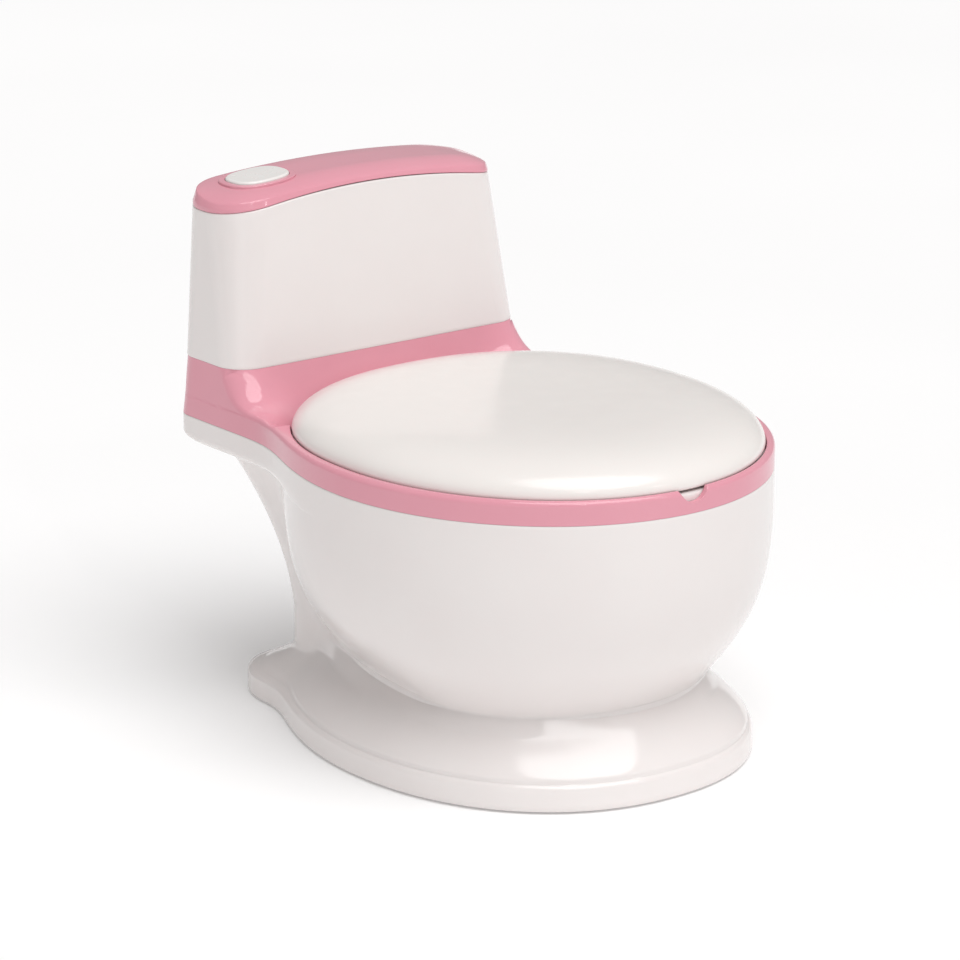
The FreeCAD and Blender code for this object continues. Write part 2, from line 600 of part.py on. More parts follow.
def tank_lid():
    edge_z = TANK_TOP + TANK_LID_EDGE
    top_span = TANK_CREST[0] - TANK_LID_INSET
    above_seam = tank_lid_block(0.0).cut(under_arch(TANK_TOP, TANK_ARCH, TANK_CREST[0]))
    cap = above_seam.common(under_arch(edge_z, TANK_LID_CROWN, top_span))
    top_edges = [edge for edge in cap.Edges if edge.CenterOfMass.z > edge_z - 1.5]
    cap = cap.makeFillet(3.0, top_edges)
    hollow = tank_lid_block(3.0).common(under_arch(edge_z - 2.8, TANK_LID_CROWN, top_span))
    cap = cap.cut(hollow)
    lip_inset = WALL + 1.1      # loose enough to lift straight out of the leaning tank
    lip = tank_block(TANK_TOP - 8.0, TANK_TOP + 16.0, lip_inset)
    lip = lip.cut(tank_block(TANK_TOP - 9.0, TANK_TOP + 17.0, lip_inset + 2.0))
    lip = lip.common(under_arch(edge_z - 2.5, TANK_LID_CROWN, top_span))
    lip = lip.cut(under_arch(TANK_TOP - 6.0, TANK_ARCH, TANK_CREST[0]))
    roof = under_arch(edge_z - 1.0, TANK_LID_CROWN, top_span)
    posts = [cylinder_z(x, y, (CASE_Z[1], BUTTON_TOP), 3.6).common(roof) for x, y in CASE_SCREW_SPOTS]
    cap = cap.fuse([lip] + posts).removeSplitter()
    for x, y in CASE_SCREW_SPOTS:
        cap = cap.cut(cylinder_z(x, y, (CASE_Z[1] - 1.0, CASE_Z[1] + 10.0), 1.2))
    cap = cap.cut(button_oval(BEZEL_WIDTH - 1.0, CASE_Z[1] + 6.0, BUTTON_TOP + 4.0))
    return cap.cut(tilted(button_oval(BEZEL_WIDTH + 1.05, BEZEL_FLANGE_Z, BUTTON_TOP + 4.0)))


# ---------------------------------------------------------------- flush button
def button_oval(margin, low_z, high_z):
    half_x, half_y = BUTTON_HALF
    wires = []
    for z in (low_z, high_z):
        wire = egg(half_x + margin, half_y + margin, half_y + margin, z, 2.6, 2.6)
        wire.translate(vec(BUTTON_X, BUTTON_Y, 0))
        wires.append(wire)
    return loft(wires)


def tilted(shape):
    """Shear a shape so that its level faces follow the slope of the tank lid; its sides stay upright."""
    shear = FreeCAD.Matrix()
    shear.A31 = BUTTON_SLOPE
    shear.A34 = -BUTTON_SLOPE * BUTTON_X
    return shape.transformGeometry(shear)


def flush_button():
    cap = button_oval(0.0, BUTTON_TOP - 9.0, BUTTON_TOP)
    cap = cap.makeFillet(1.8, [edge for edge in cap.Edges if edge.BoundBox.ZMin > BUTTON_TOP - 0.5])
    cap = cap.cut(button_oval(-2.2, BUTTON_TOP - 10.0, BUTTON_TOP - 2.4))
    flange = button_oval(1.6, BUTTON_TOP - 10.5, BUTTON_TOP - 9.0)
    flange = flange.cut(button_oval(-2.2, BUTTON_TOP - 12.0, BUTTON_TOP - 8.0))
    stem = cylinder_z(BUTTON_X, BUTTON_Y, (SWITCH_TOP + BUTTON_TRAVEL + GAP, BUTTON_TOP - 2.0), 2.5)
    return tilted(cap.fuse([flange])).fuse(stem).removeSplitter()


def button_bezel():
    low_z = BUTTON_TOP - 8.6
    ring = button_oval(BEZEL_WIDTH - 1.0, low_z, BUTTON_TOP - 1.6)
    ring = ring.fuse(button_oval(BEZEL_WIDTH + 1.0, BEZEL_FLANGE_Z, BUTTON_TOP - 1.6)).removeSplitter()
    ring = ring.makeFillet(0.8, [edge for edge in ring.Edges if edge.BoundBox.ZMin > BUTTON_TOP - 1.7])
    return tilted(ring.cut(button_oval(0.35, low_z - 1.0, BUTTON_TOP + 1.0)))


def button_spring():
    """Open coil between the top of the sound module and the underside of the button."""
    low_z = CASE_Z[1] + 0.3
    wire_radius = 0.4
    coil_radius = 5.0
    height = BUTTON_TOP - 2.4 - low_z - 2 * wire_radius
    turns = 5
    helix = Part.makeHelix(height / turns, height, coil_radius)
    start = vec(coil_radius, 0, 0)
    pitch_slope = height / turns / (2 * math.pi * coil_radius)
    section = Part.Wire(Part.makeCircle(wire_radius, start, vec(0, 1, pitch_slope)))
    coil = Part.Wire(helix).makePipeShell([section], True, True)
    coil.translate(vec(BUTTON_X, BUTTON_Y, low_z + wire_radius))
    return coil


# ---------------------------------------------------------------- sound module
def sound_case():
    outer = box(CASE_X, CASE_Y, CASE_Z)
    upright = [edge for edge in outer.Edges if edge.BoundBox.ZLength > 5]
    outer = outer.makeFillet(3.0, upright)
    inner_x = (CASE_X[0] + CASE_WALL, CASE_X[1] - CASE_WALL)
    inner_y = (CASE_Y[0] + CASE_WALL, CASE_Y[1] - CASE_WALL)
    hollow = box(inner_x, inner_y, (CASE_Z[0] + CASE_WALL, CASE_Z[1] - CASE_WALL))
    case = outer.cut(hollow)
    posts = [cylinder_z(x, y, (CASE_Z[0] + 1.0, CASE_Z[1] - 1.0), 3.6) for x, y in CASE_SCREW_SPOTS]
    case = case.fuse(posts).removeSplitter()
    for x, y in CASE_SCREW_SPOTS:
        case = case.cut(cylinder_z(x, y, (CASE_Z[0] - 1.0, CASE_Z[1] + 1.0), 1.5))
        case = case.cut(cylinder_z(x, y, (CASE_Z[0] - 1.0, CASE_Z[0] + 6.0), 2.8))
    case = case.cut(cylinder_z(BUTTON_X, BUTTON_Y, (CASE_Z[1] - 3.0, CASE_Z[1] + 1.0), 3.4))
    for step in range(-2, 3):
        slot_y = (SPEAKER_Y + 3.2 * step - 0.8, SPEAKER_Y + 3.2 * step + 0.8)
        slot_z = (CASE_Z[0] - 1.0, CASE_Z[0] + CASE_WALL + 1.0)
        case = case.cut(box((SPEAKER_X - 6.0, SPEAKER_X + 6.0), slot_y, slot_z))
    rib = box(CELL_RIB_X, (CASE_Y[0] + 1.0, CASE_Y[1] - 1.0), (CASE_Z[0] + CASE_WALL + 1.0, CELL_Z + 6.0))
    boss = cylinder_z(DOOR_SCREW_X, SPEAKER_Y, (CASE_Z[0] + DOOR_THICKNESS, CASE_Z[0] + 8.0), 2.4)
    case = case.cut(box(DOOR_X, DOOR_Y, (CASE_Z[0] - 1.0, CASE_Z[0] + DOOR_THICKNESS)))
    hatch_x = (DOOR_X[0] + 1.0, DOOR_SCREW_X - 3.0)
    hatch = box(hatch_x, (DOOR_Y[0] + 1.0, DOOR_Y[1] - 1.0), (CASE_Z[0], CASE_Z[0] + CASE_WALL + 0.5))
    case = case.cut(hatch).fuse([rib, boss]).removeSplitter()
    return case.cut(cylinder_z(DOOR_SCREW_X, SPEAKER_Y, (CASE_Z[0] - 1.0, CASE_Z[0] + 9.0), 1.1))


def battery_cells():
    cells = []
    for y, way in zip(CELL_Y, (1, -1)):
        nub = 0.9
        low, high = CELL_X
        body_x = (low, high - nub) if way > 0 else (low + nub, high)
        nub_x = (high - nub, high) if way > 0 else (low, low + nub)
        cells.append(cylinder_x(body_x, y, CELL_Z, CELL_RADIUS).fuse(cylinder_x(nub_x, y, CELL_Z, 1.9)))
    return Part.makeCompound(cells)


def battery_contacts():
    contacts = []
    for face_x in (CELL_X[0] - CONTACT, CELL_X[1]):
        for y in CELL_Y:
            contacts.append(box((face_x, face_x + CONTACT), (y - 4.0, y + 4.0),
                                (CELL_Z - 4.0, CELL_Z + 4.0)))
    return Part.makeCompound(contacts)


def battery_door():
    margin = 0.2
    door = box((DOOR_X[0] + margin, DOOR_X[1] - margin), (DOOR_Y[0] + margin, DOOR_Y[1] - margin),
               (CASE_Z[0], CASE_Z[0] + DOOR_THICKNESS))
    return door.cut(cylinder_z(DOOR_SCREW_X, SPEAKER_Y, (CASE_Z[0] - 1.0, CASE_Z[1]), 1.1))


def battery_door_screw():
    return screw(DOOR_SCREW_X, SPEAKER_Y, CASE_Z[0], 7.0, 1.1, 2.0, 1.2)


def case_screws():
    seat = CASE_Z[0] + 6.0
    return Part.makeCompound([screw(x, y, seat, 32.0, 1.2, 2.4, 1.6) for x, y in CASE_SCREW_SPOTS])


def circuit_board():
    return box((CASE_X[0] + 10.0, CASE_X[1] - 10.0), (CASE_Y[0] + 3.0, CASE_Y[1] - 3.0), BOARD_Z)


def push_switch():
    half = 3.0
    base = box((BUTTON_X - half, BUTTON_X + half), (BUTTON_Y - half, BUTTON_Y + half),
               (BOARD_Z[1], SWITCH_TOP - 1.0))
    return base.fuse(cylinder_z(BUTTON_X, BUTTON_Y, (SWITCH_TOP - 1.5, SWITCH_TOP), 1.7))


def sound_chip():
    low_x = BUTTON_X + 10.0
    return box((low_x, low_x + 5.0), (BUTTON_Y - 3.0, BUTTON_Y + 3.0), (BOARD_Z[1], BOARD_Z[1] + 1.5))


def speaker_frame():
    low_z = CASE_Z[0] + CASE_WALL
    rim = cylinder_z(SPEAKER_X, SPEAKER_Y, (low_z, low_z + 3.0), SPEAKER_RADIUS)
    upwards = vec(0, 0, 1)
    basket = Part.makeCone(SPEAKER_RADIUS - 1.0, 6.0, 3.5, vec(SPEAKER_X, SPEAKER_Y, low_z + 3.0), upwards)
    magnet = cylinder_z(SPEAKER_X, SPEAKER_Y, (low_z + 6.5, low_z + 10.5), 6.0)
    throat = Part.makeCone(SPEAKER_RADIUS - 1.5, 4.4, 6.0, vec(SPEAKER_X, SPEAKER_Y, low_z), upwards)
    return rim.fuse([basket, magnet]).cut(throat)


def speaker_cone():
    low_z = CASE_Z[0] + CASE_WALL + 0.6
    outer = Part.makeCone(8.3, 3.9, 5.0, vec(SPEAKER_X, SPEAKER_Y, low_z), vec(0, 0, 1))
    return outer.cut(Part.makeCone(7.7, 3.3, 4.5, vec(SPEAKER_X, SPEAKER_Y, low_z), vec(0, 0, 1)))


# ---------------------------------------------------------------- export
SUB_PARTS = [body_shell, foot_pads, seat_deck, hinge_pins, deck_screws, seat_ring, inner_pot, lid_dome,
             lid_liner, lid_bumpers, tank_shell, tank_screws, tank_lid, button_bezel, flush_button,
             button_spring, sound_case, case_screws, circuit_board, push_switch, sound_chip, speaker_frame,
             speaker_cone, battery_cells, battery_contacts, battery_door, battery_door_screw]


def main():
    os.makedirs("parts", exist_ok=True)
    for make in SUB_PARTS:
        shape = make()
        shape.translate(vec(0, -ORIGIN_Y, 0))
        shape.exportStep(f"parts/{make.__name__}.step")
        print(f"{make.__name__:20s} {shape.Volume / 1000:8.2f} cm3  valid {shape.isValid()}")


if __name__ == "__main__":
    main()
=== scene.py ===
import math

import bmesh
import bpy
import numpy as np
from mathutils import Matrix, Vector


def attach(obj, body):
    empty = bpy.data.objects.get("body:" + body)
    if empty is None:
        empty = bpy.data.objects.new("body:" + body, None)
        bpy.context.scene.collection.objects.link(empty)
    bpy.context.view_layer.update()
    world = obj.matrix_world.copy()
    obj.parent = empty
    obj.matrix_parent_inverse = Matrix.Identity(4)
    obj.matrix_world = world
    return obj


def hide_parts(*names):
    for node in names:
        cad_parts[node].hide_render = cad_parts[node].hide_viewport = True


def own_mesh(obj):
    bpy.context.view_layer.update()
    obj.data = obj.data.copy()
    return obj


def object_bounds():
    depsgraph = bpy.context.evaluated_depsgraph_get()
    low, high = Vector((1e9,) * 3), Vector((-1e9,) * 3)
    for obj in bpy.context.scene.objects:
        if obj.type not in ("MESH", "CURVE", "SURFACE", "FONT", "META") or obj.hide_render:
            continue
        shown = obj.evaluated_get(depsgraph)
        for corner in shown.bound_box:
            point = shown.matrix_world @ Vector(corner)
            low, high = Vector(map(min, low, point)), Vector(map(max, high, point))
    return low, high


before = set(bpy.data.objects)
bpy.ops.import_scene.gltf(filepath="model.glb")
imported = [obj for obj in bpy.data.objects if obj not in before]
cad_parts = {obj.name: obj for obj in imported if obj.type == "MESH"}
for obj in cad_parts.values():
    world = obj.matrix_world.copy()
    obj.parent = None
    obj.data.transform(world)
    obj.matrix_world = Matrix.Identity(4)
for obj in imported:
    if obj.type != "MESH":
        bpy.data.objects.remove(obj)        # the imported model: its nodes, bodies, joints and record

# The potty chair's moulded shells, rebuilt as smooth meshes over the CAD frame, with their materials,
# the light and the camera.  Shapes are worked out in millimetres about the middle of the bowl, with
# -Y towards the front, and place() puts them in the frame in metres.

CAD_LOW, CAD_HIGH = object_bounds()

# ---------------------------------------------------------------- driving sizes, in millimetres
BOWL_HALF_WIDTH = 145.0
BOWL_HALF_LENGTH = 158.5
BAND_Z = 183.0
RING_TOP = 198.0
SHELF_Z = 162.0
NECK_TOP = 50.0
NECK_BOTTOM = 40.0
RIM_Z = 15.0
FOOT_GAP = 1.2
WALL = 3.0
SEAM = 0.06                 # half the width of the hairline where two mouldings meet
SIDE_POWER = 12
SHELF_ROUND = 10.0
FOOT_NOSE_POWER = 2.18      # the foot's front is a little squarer than an oval

# sections of the bowl and foot: half width, middle, front, rear
BOWL_BRIM = (BOWL_HALF_WIDTH + 0.3, 0.0, -BOWL_HALF_LENGTH, 162.0)
NECK = (98.4, -28.0, -114.0, 162.0)
NECK_FOOT = (108.1, -9.5, -124.5, 150.0)
FOOT_RIM = (131.9, 9.2, -145.0, 176.0)

LID_HALF_WIDTH = 137.35
LID_FRONT = 154.1
LID_REAR = 144.0
LID_FRONT_POWER = 2.02
LID_REAR_POWER = 2.3
LID_EDGE_Z = 198.2
LID_RISE = 22.0
LID_RIM_BOTTOM = 196.4

TANK_Z = 220.2
TANK_TOP = 315.4
TANK_ARCH = 10.5
TANK_BASE = (113.65, 151.15, 219.7, 20.0)     # half width, front, back, corner radius
TANK_CREST = (107.6, 161.3, 226.5, 30.0)

TANK_LID_EDGE = 11.2
TANK_LID_CROWN = 6.7
TANK_LID_INSET = 4.2
TANK_LID_LEAN = 0.3         # how fast the tank lid's sides close in, above LEAN_FOOT
LEAN_FOOT = 318.4
TANK_LID_ROOF = 3.6
TANK_LIP = (4.1, 6.1)       # insets of the outer and inner face of the lip that sits in the tank
TANK_LIP_DEPTH = 6.0
PILLOW_REACH = 17.0         # how far in from its edge the tank lid's top slopes down
PILLOW_DROP = 4.4
CASE_POST_INSET = 5.0
CASE_POST_RADIUS = 3.6
CASE_X = (-97.5, -17.5)
CASE_Y = (173.0, 214.5)
CASE_TOP = 306.0
BUTTON_SPOT = (-65.0, 195.5)
BEZEL_HALF = (24.05, 20.55)
SPRING_Z = (306.8, 330.3)
SPRING_RADIUS = 5.0
WIRE_RADIUS = 0.4

SEAT_FLOOR = 186.0
SEAT_TOP = 194.6
BRIDGE_FRONT = 106.0
BRIDGE_BACK = 112.0
BRIDGE_TOP = 194.6
WELL_FLOOR = 161.5
FLARE_REACH = (15.0, 40.0)      # how far the plinth's front sweeps forward: in the middle, at its ends
FLARE_POWER = (2.7, 3.4)
TROUGH_DEPTH = 13.5
TROUGH_REACH = 8.4
DECK_MOUTH = (92.0, 116.0, 90.0)        # half width, reach to the front, reach to the rear

PLINTH_BACK = 219.0
PLINTH_HALF_BOTTOM = 118.0
PLINTH_CORNER = TANK_BASE[3]
WALL_LEAN = PLINTH_HALF_BOTTOM - TANK_BASE[0]
RING_ROUND = 3.6
FLARE_ROUND = 2.4
NOTCH_RADIUS = 11.0
NOTCH_CENTRE = (-BOWL_HALF_LENGTH + 2.0, RING_TOP + 2.5)     # y and z
NOTCH_SOFTNESS = 1.4
DECK_LIP_ROUND = 0.8        # rounding of the deck's edge beside the lid
COLUMN_STEP = 0.02          # how finely the deck is sampled outwards

HINGE_X = 60.0
HINGE_Y = 118.0
HINGE_Z = 192.8
LUG_OFFSET = 11.8
LUG_RADIUS = 3.4
LUG_LENGTH = 6.0
SCREW_SPOTS = ((118.0, -52.0), (-118.0, -52.0), (70.0, 190.0), (-70.0, 190.0))
POST_FOOT = 154.0
POST_RADIUS = 5.0

# ovals: half width, reach to the front, reach to the rear
SEAT_HOLE = (74.0, 98.0, 78.0)
POT_RIM = (100.0, 124.0, 98.0)
POT_MOUTH = (88.0, 112.0, 86.0)
POT_BASE = (60.0, 78.0, 58.0)
POT_BOTTOM = 62.0
POT_WALL = 2.5
SEAT_BASE = SEAT_FLOOR + 0.1

MIDDLE_Y = CAD_LOW[1] * 1000 + BOWL_HALF_LENGTH     # the bowl's middle, in the frame


# ---------------------------------------------------------------- mesh helpers
def place(points):
    """Millimetres about the bowl's middle to metres in the frame."""
    moved = np.array(points, dtype=float)
    moved[..., 1] += MIDDLE_Y
    return moved / 1000.0


def add_piece(name, vertices, faces, body, material, smooth_angle=None):
    mesh = bpy.data.meshes.new(name)
    mesh.from_pydata([tuple(v) for v in place(vertices)], [], faces)
    mesh.validate()
    mesh.update()
    piece = bpy.data.objects.new(name, mesh)
    bpy.context.scene.collection.objects.link(piece)
    mesh.materials.append(material)
    tidy_normals(mesh)
    for polygon in mesh.polygons:
        polygon.use_smooth = True
    if smooth_angle is not None:
        mesh.set_sharp_from_angle(angle=math.radians(smooth_angle))
    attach(piece, body)
    return piece


def tidy_normals(mesh):
    work = bmesh.new()
    work.from_mesh(mesh)
    bmesh.ops.remove_doubles(work, verts=work.verts, dist=2e-6)
    bmesh.ops.dissolve_degenerate(work, edges=work.edges, dist=1e-6)
    bmesh.ops.recalc_face_normals(work, faces=work.faces)
    work.to_mesh(mesh)
    work.free()


def skin(rings, close_last=False, close_first=False):
    """Quads between rings of equal length; each ring is an array of points that closes on itself."""
    count = len(rings[0])
    vertices = np.vstack(rings)
    faces = []
    for ring in range(len(rings) - 1):
        base = ring * count
        for step in range(count):
            following = (step + 1) % count
            faces.append((base + step, base + following, base + count + following, base + count + step))
    if close_last:
        faces.append(tuple(range((len(rings) - 1) * count, len(rings) * count)))
    if close_first:
        faces.append(tuple(range(count)))
    return vertices, faces


def at_height(outline, z):
    return np.column_stack([outline, np.full(len(outline), z)])


def mix(start, end, amount):
    return start + (end - start) * amount


def smooth_step(low, high, value):
    share = np.clip((value - low) / (high - low), 0.0, 1.0)
    return share * share * (3 - 2 * share)


def quarter_round(steps):
    """(inward, down) shares along a quarter circle, from its top to its outer side."""
    angles = np.linspace(0, math.pi / 2, steps)
    return [(1 - math.sin(a), 1 - math.cos(a)) for a in angles]


# ---------------------------------------------------------------- outlines
def oval(half_width, front, rear, count=160, front_power=2.0, rear_power=2.0):
    angle = 2 * math.pi * (np.arange(count) + 0.5) / count
    ahead = np.sin(angle) < 0
    power = np.where(ahead, front_power, rear_power)
    reach = np.where(ahead, front, rear)
    x = half_width * np.sign(np.cos(angle)) * np.abs(np.cos(angle)) ** (2 / power)
    y = reach * np.sign(np.sin(angle)) * np.abs(np.sin(angle)) ** (2 / power)
    return np.column_stack([x, y])


def lid_outline(margin=0.0, scale=1.0, count=200):
    return oval((LID_HALF_WIDTH + margin) * scale, (LID_FRONT + margin) * scale,
                (LID_REAR + margin) * scale, count, LID_FRONT_POWER, LID_REAR_POWER)


def arc_points(centre, radius, start, end, count):
    angle = np.radians(np.linspace(start, end, count))
    return np.column_stack([centre[0] + radius * np.cos(angle), centre[1] + radius * np.sin(angle)])


def rounded_box(half_width, front, back, corner, per_corner=14, per_side=24):
    inner = half_width - corner
    low = front + corner
    high = back - corner
    stretches = []
    corners = [((inner, low), -90), ((inner, high), 0), ((-inner, high), 90), ((-inner, low), 180)]
    for index, (centre, start) in enumerate(corners):
        stretches.append(arc_points(centre, corner, start, start + 90, per_corner))
        following, next_start = corners[(index + 1) % 4]
        begin = stretches[-1][-1]
        angle = math.radians(next_start)
        end = np.array([following[0] + corner * math.cos(angle), following[1] + corner * math.sin(angle)])
        shares = np.linspace(0, 1, per_side)[1:-1, None]
        stretches.append(begin + (end - begin) * shares)
    return np.vstack(stretches)


def side_blend(oval_x, block_x):
    return (oval_x ** SIDE_POWER + block_x ** SIDE_POWER) ** (1 / SIDE_POWER)


def keyhole(bowl, block, nose_power, per_side=40, per_nose=72, per_corner=12, per_back=20):
    """Oval bowl blended into a rear block with round corners, seen from above."""
    half_width, centre, front, rear = bowl
    block_half, back, corner = block
    straight_end = back - corner
    y = np.linspace(straight_end, centre, per_side, endpoint=False)
    along = np.clip((y - centre) / (rear - centre), None, 1.0)
    x = side_blend(half_width * np.sqrt(1 - along ** 2), block_half)
    right = np.column_stack([x, y])
    widest = side_blend(half_width, block_half)
    angle = np.linspace(0, math.pi, per_nose + 1)
    across = np.sign(np.cos(angle)) * np.abs(np.cos(angle)) ** (2 / nose_power)
    ahead = np.abs(np.sin(angle)) ** (2 / nose_power)
    nose = np.column_stack([widest * across, centre - (centre - front) * ahead])
    left = right[::-1] * [-1, 1]
    inner = block_half - corner
    back_left = arc_points((-inner, straight_end), corner, 180, 90, per_corner)[1:]
    back_right = arc_points((inner, straight_end), corner, 90, 0, per_corner)[:-1]
    across = np.linspace(-inner, inner, per_back)[1:-1]
    back_line = np.column_stack([across, np.full(len(across), back)])
    return np.vstack([right, nose, left, back_left, back_line, back_right])


# ---------------------------------------------------------------- body shell
def bowl_at(z):
    if z >= NECK_TOP:
        height = min(1.0, (z - NECK_TOP) / (BAND_Z - NECK_TOP))
        spread = (1 - (1 - height) ** 3.6) ** 1.24
        return [mix(low, high, spread) for low, high in zip(NECK, BOWL_BRIM)]
    if z >= NECK_BOTTOM:
        flare = (NECK_TOP - z) / (NECK_TOP - NECK_BOTTOM)
        return [mix(high, low, flare) for high, low in zip(NECK, NECK_FOOT)]
    slope = (NECK_BOTTOM - max(z, RIM_Z)) / (NECK_BOTTOM - RIM_Z)
    spread = 1 - (1 - slope) ** 1.25
    rim = 0.6 * (RIM_Z - min(z, RIM_Z)) / RIM_Z
    half_width, middle, front, rear = [mix(high, low, spread) for high, low in zip(NECK_FOOT, FOOT_RIM)]
    return half_width + rim, middle, front - rim, rear


def block_at(z):
    widening = max(0.0, (z - 70.0) / (SHELF_Z - 70.0))
    leaning = max(0.0, (z - 60.0) / (SHELF_Z - 60.0))
    flare = min(1.0, max(0.0, (34.0 - z) / (34.0 - RIM_Z))) ** 1.8
    half_width = 75.0 + 25.0 * widening ** 1.9 + 24.0 * flare
    back = 174.0 + 36.0 * leaning ** 1.1 + 24.0 * flare
    return half_width, back, mix(40.0, 48.0, flare)


def body_section(z, shelf=0.0, inset=0.0):
    """Section of the body; shelf runs from 0 on the column to 1 on the full shelf that carries the tank."""
    bowl = bowl_at(z)
    block = block_at(min(z, SHELF_Z))
    plinth = (PLINTH_HALF_BOTTOM, PLINTH_BACK, PLINTH_CORNER)
    block = [mix(column, full, shelf) for column, full in zip(block, plinth)]
    half_width = (bowl[0] ** SIDE_POWER - block[0] ** SIDE_POWER) ** (1 / SIDE_POWER)
    bowl = (half_width - inset, bowl[1], bowl[2] + inset, bowl[3] - inset)
    block = (block[0] - inset, block[1] - inset, block[2] - inset)
    nose_power = mix(2.0, FOOT_NOSE_POWER, smooth_step(NECK_BOTTOM, RIM_Z + 5.0, z))
    return at_height(keyhole(bowl, block, nose_power), z)


def body_shell(material):
    rings = [body_section(FOOT_GAP + 3.0, 0.0, 26.0), body_section(FOOT_GAP, 0.0, 24.0)]
    rings.append(body_section(FOOT_GAP, 0.0, 1.2))
    rings.append(body_section(FOOT_GAP + 0.4, 0.0, 0.4))
    for z in (FOOT_GAP + 1.2, 5.0, 9.0, 12.0):
        rings.append(body_section(z))
    for inward, down in reversed(quarter_round(7)):
        rings.append(body_section(RIM_Z + 2.5 - 5.0 * down, 0.0, 1.6 * inward))
    for z in np.linspace(19.5, NECK_BOTTOM - 1.0, 12):
        rings.append(body_section(z))
    for z in (NECK_BOTTOM, 42.0, 44.5, 47.0, 49.0, NECK_TOP, 51.0):
        rings.append(body_section(z))
    height = np.linspace(0, 1, 46)[1:]
    for z in mix(51.0, SHELF_Z - 0.5, height ** 1.15):
        rings.append(body_section(z))
    for inward, climb in quarter_round(14):
        rings.append(body_section(SHELF_Z + SHELF_ROUND * climb, 1 - inward))
    for z in (SHELF_Z + SHELF_ROUND + 4.0, BAND_Z - 2.0, BAND_Z - 4 * SEAM):
        rings.append(body_section(z, 1.0))
    rings.append(body_section(BAND_Z - SEAM, 1.0, 3 * SEAM))
    rings.append(body_section(BAND_Z - SEAM, 1.0, WALL))
    for z in (150.0, 120.0, 90.0, 70.0, 54.0, 44.0, 36.0, 26.0, 14.0, FOOT_GAP + 3.0):
        rings.append(body_section(z, 0.0, WALL))
    vertices, faces = skin(rings)
    piece = add_piece("body_shell_skin", vertices, faces, "chair", material)
    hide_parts("body_shell")


# ---------------------------------------------------------------- seat deck
def egg_radius(angle, half_width, front, rear, front_power=2.0, rear_power=2.0):
    """Distance from the middle to an oval, in each direction."""
    across = np.abs(np.cos(angle))
    along = np.abs(np.sin(angle))
    ahead = np.sin(angle) < 0
    power = np.where(ahead, front_power, rear_power)
    reach = np.where(ahead, front, rear)
    return ((across / half_width) ** power + (along / reach) ** power) ** (-1 / power)


def gap_radius(angle):
    """Edge of the opening round the lid: a narrow gap, wider at the hinge."""
    margin = mix(0.5, 1.3, smooth_step(0.55, 0.85, np.sin(angle)))
    return egg_radius(angle, LID_HALF_WIDTH + margin, LID_FRONT + margin, LID_REAR + margin,
                      LID_FRONT_POWER, LID_REAR_POWER)


def deck_edge(angle):
    """Distance from the middle to the deck's outer edge, and how squarely each direction meets that edge."""
    outline = body_section(BAND_Z, 1.0)[:, :2]
    dense = []
    for start, end in zip(outline, np.roll(outline, -1, axis=0)):
        dense.append(start + (end - start) * np.linspace(0, 1, 12, endpoint=False)[:, None])
    dense = np.vstack(dense)
    bearing = np.mod(np.arctan2(dense[:, 1], dense[:, 0]), 2 * math.pi)
    order = np.argsort(bearing)
    grid = np.linspace(0, 2 * math.pi, 7200, endpoint=False)
    radius = np.interp(grid, bearing[order], np.hypot(dense[:, 0], dense[:, 1])[order], period=2 * math.pi)
    turning = (np.roll(radius, -1) - np.roll(radius, 1)) / (2 * grid[1])
    facing = radius / np.hypot(radius, turning)
    angle = np.mod(angle, 2 * math.pi)
    edge = np.interp(angle, grid, radius, period=2 * math.pi)
    return edge, np.interp(angle, grid, facing, period=2 * math.pi)


def box_distance(x, y, half_width, front, back, corner):
    """Signed distance to a rectangle with round corners, seen from above."""
    middle = (front + back) / 2
    over_x = np.abs(x) - (half_width - corner)
    over_y = np.abs(y - middle) - ((back - front) / 2 - corner)
    outside = np.hypot(np.maximum(over_x, 0), np.maximum(over_y, 0))
    return outside + np.minimum(np.maximum(over_x, over_y), 0) - corner


def plinth_height(x, y, base_z):
    """Top of the plinth under the tank, whose front sweeps down and forward to base_z."""
    towards_end = smooth_step(70.0, 112.0, np.abs(x))
    reach = mix(*FLARE_REACH, towards_end)
    power = mix(*FLARE_POWER, towards_end)
    low = np.full(x.shape, 150.0)
    high = np.full(x.shape, TANK_Z)
    for _ in range(28):
        z = (low + high) / 2
        rise = np.clip((z - base_z) / (TANK_Z - base_z), 0, 1)
        front = TANK_BASE[1] - reach * (1 - rise ** (1 / power))
        half_width = PLINTH_HALF_BOTTOM - WALL_LEAN * (z - BAND_Z) / (TANK_Z - BAND_Z)
        inside = box_distance(x, y, half_width, front, PLINTH_BACK, PLINTH_CORNER) <= 0
        low = np.where(inside, z, low)
        high = np.where(inside, high, z)
    return low


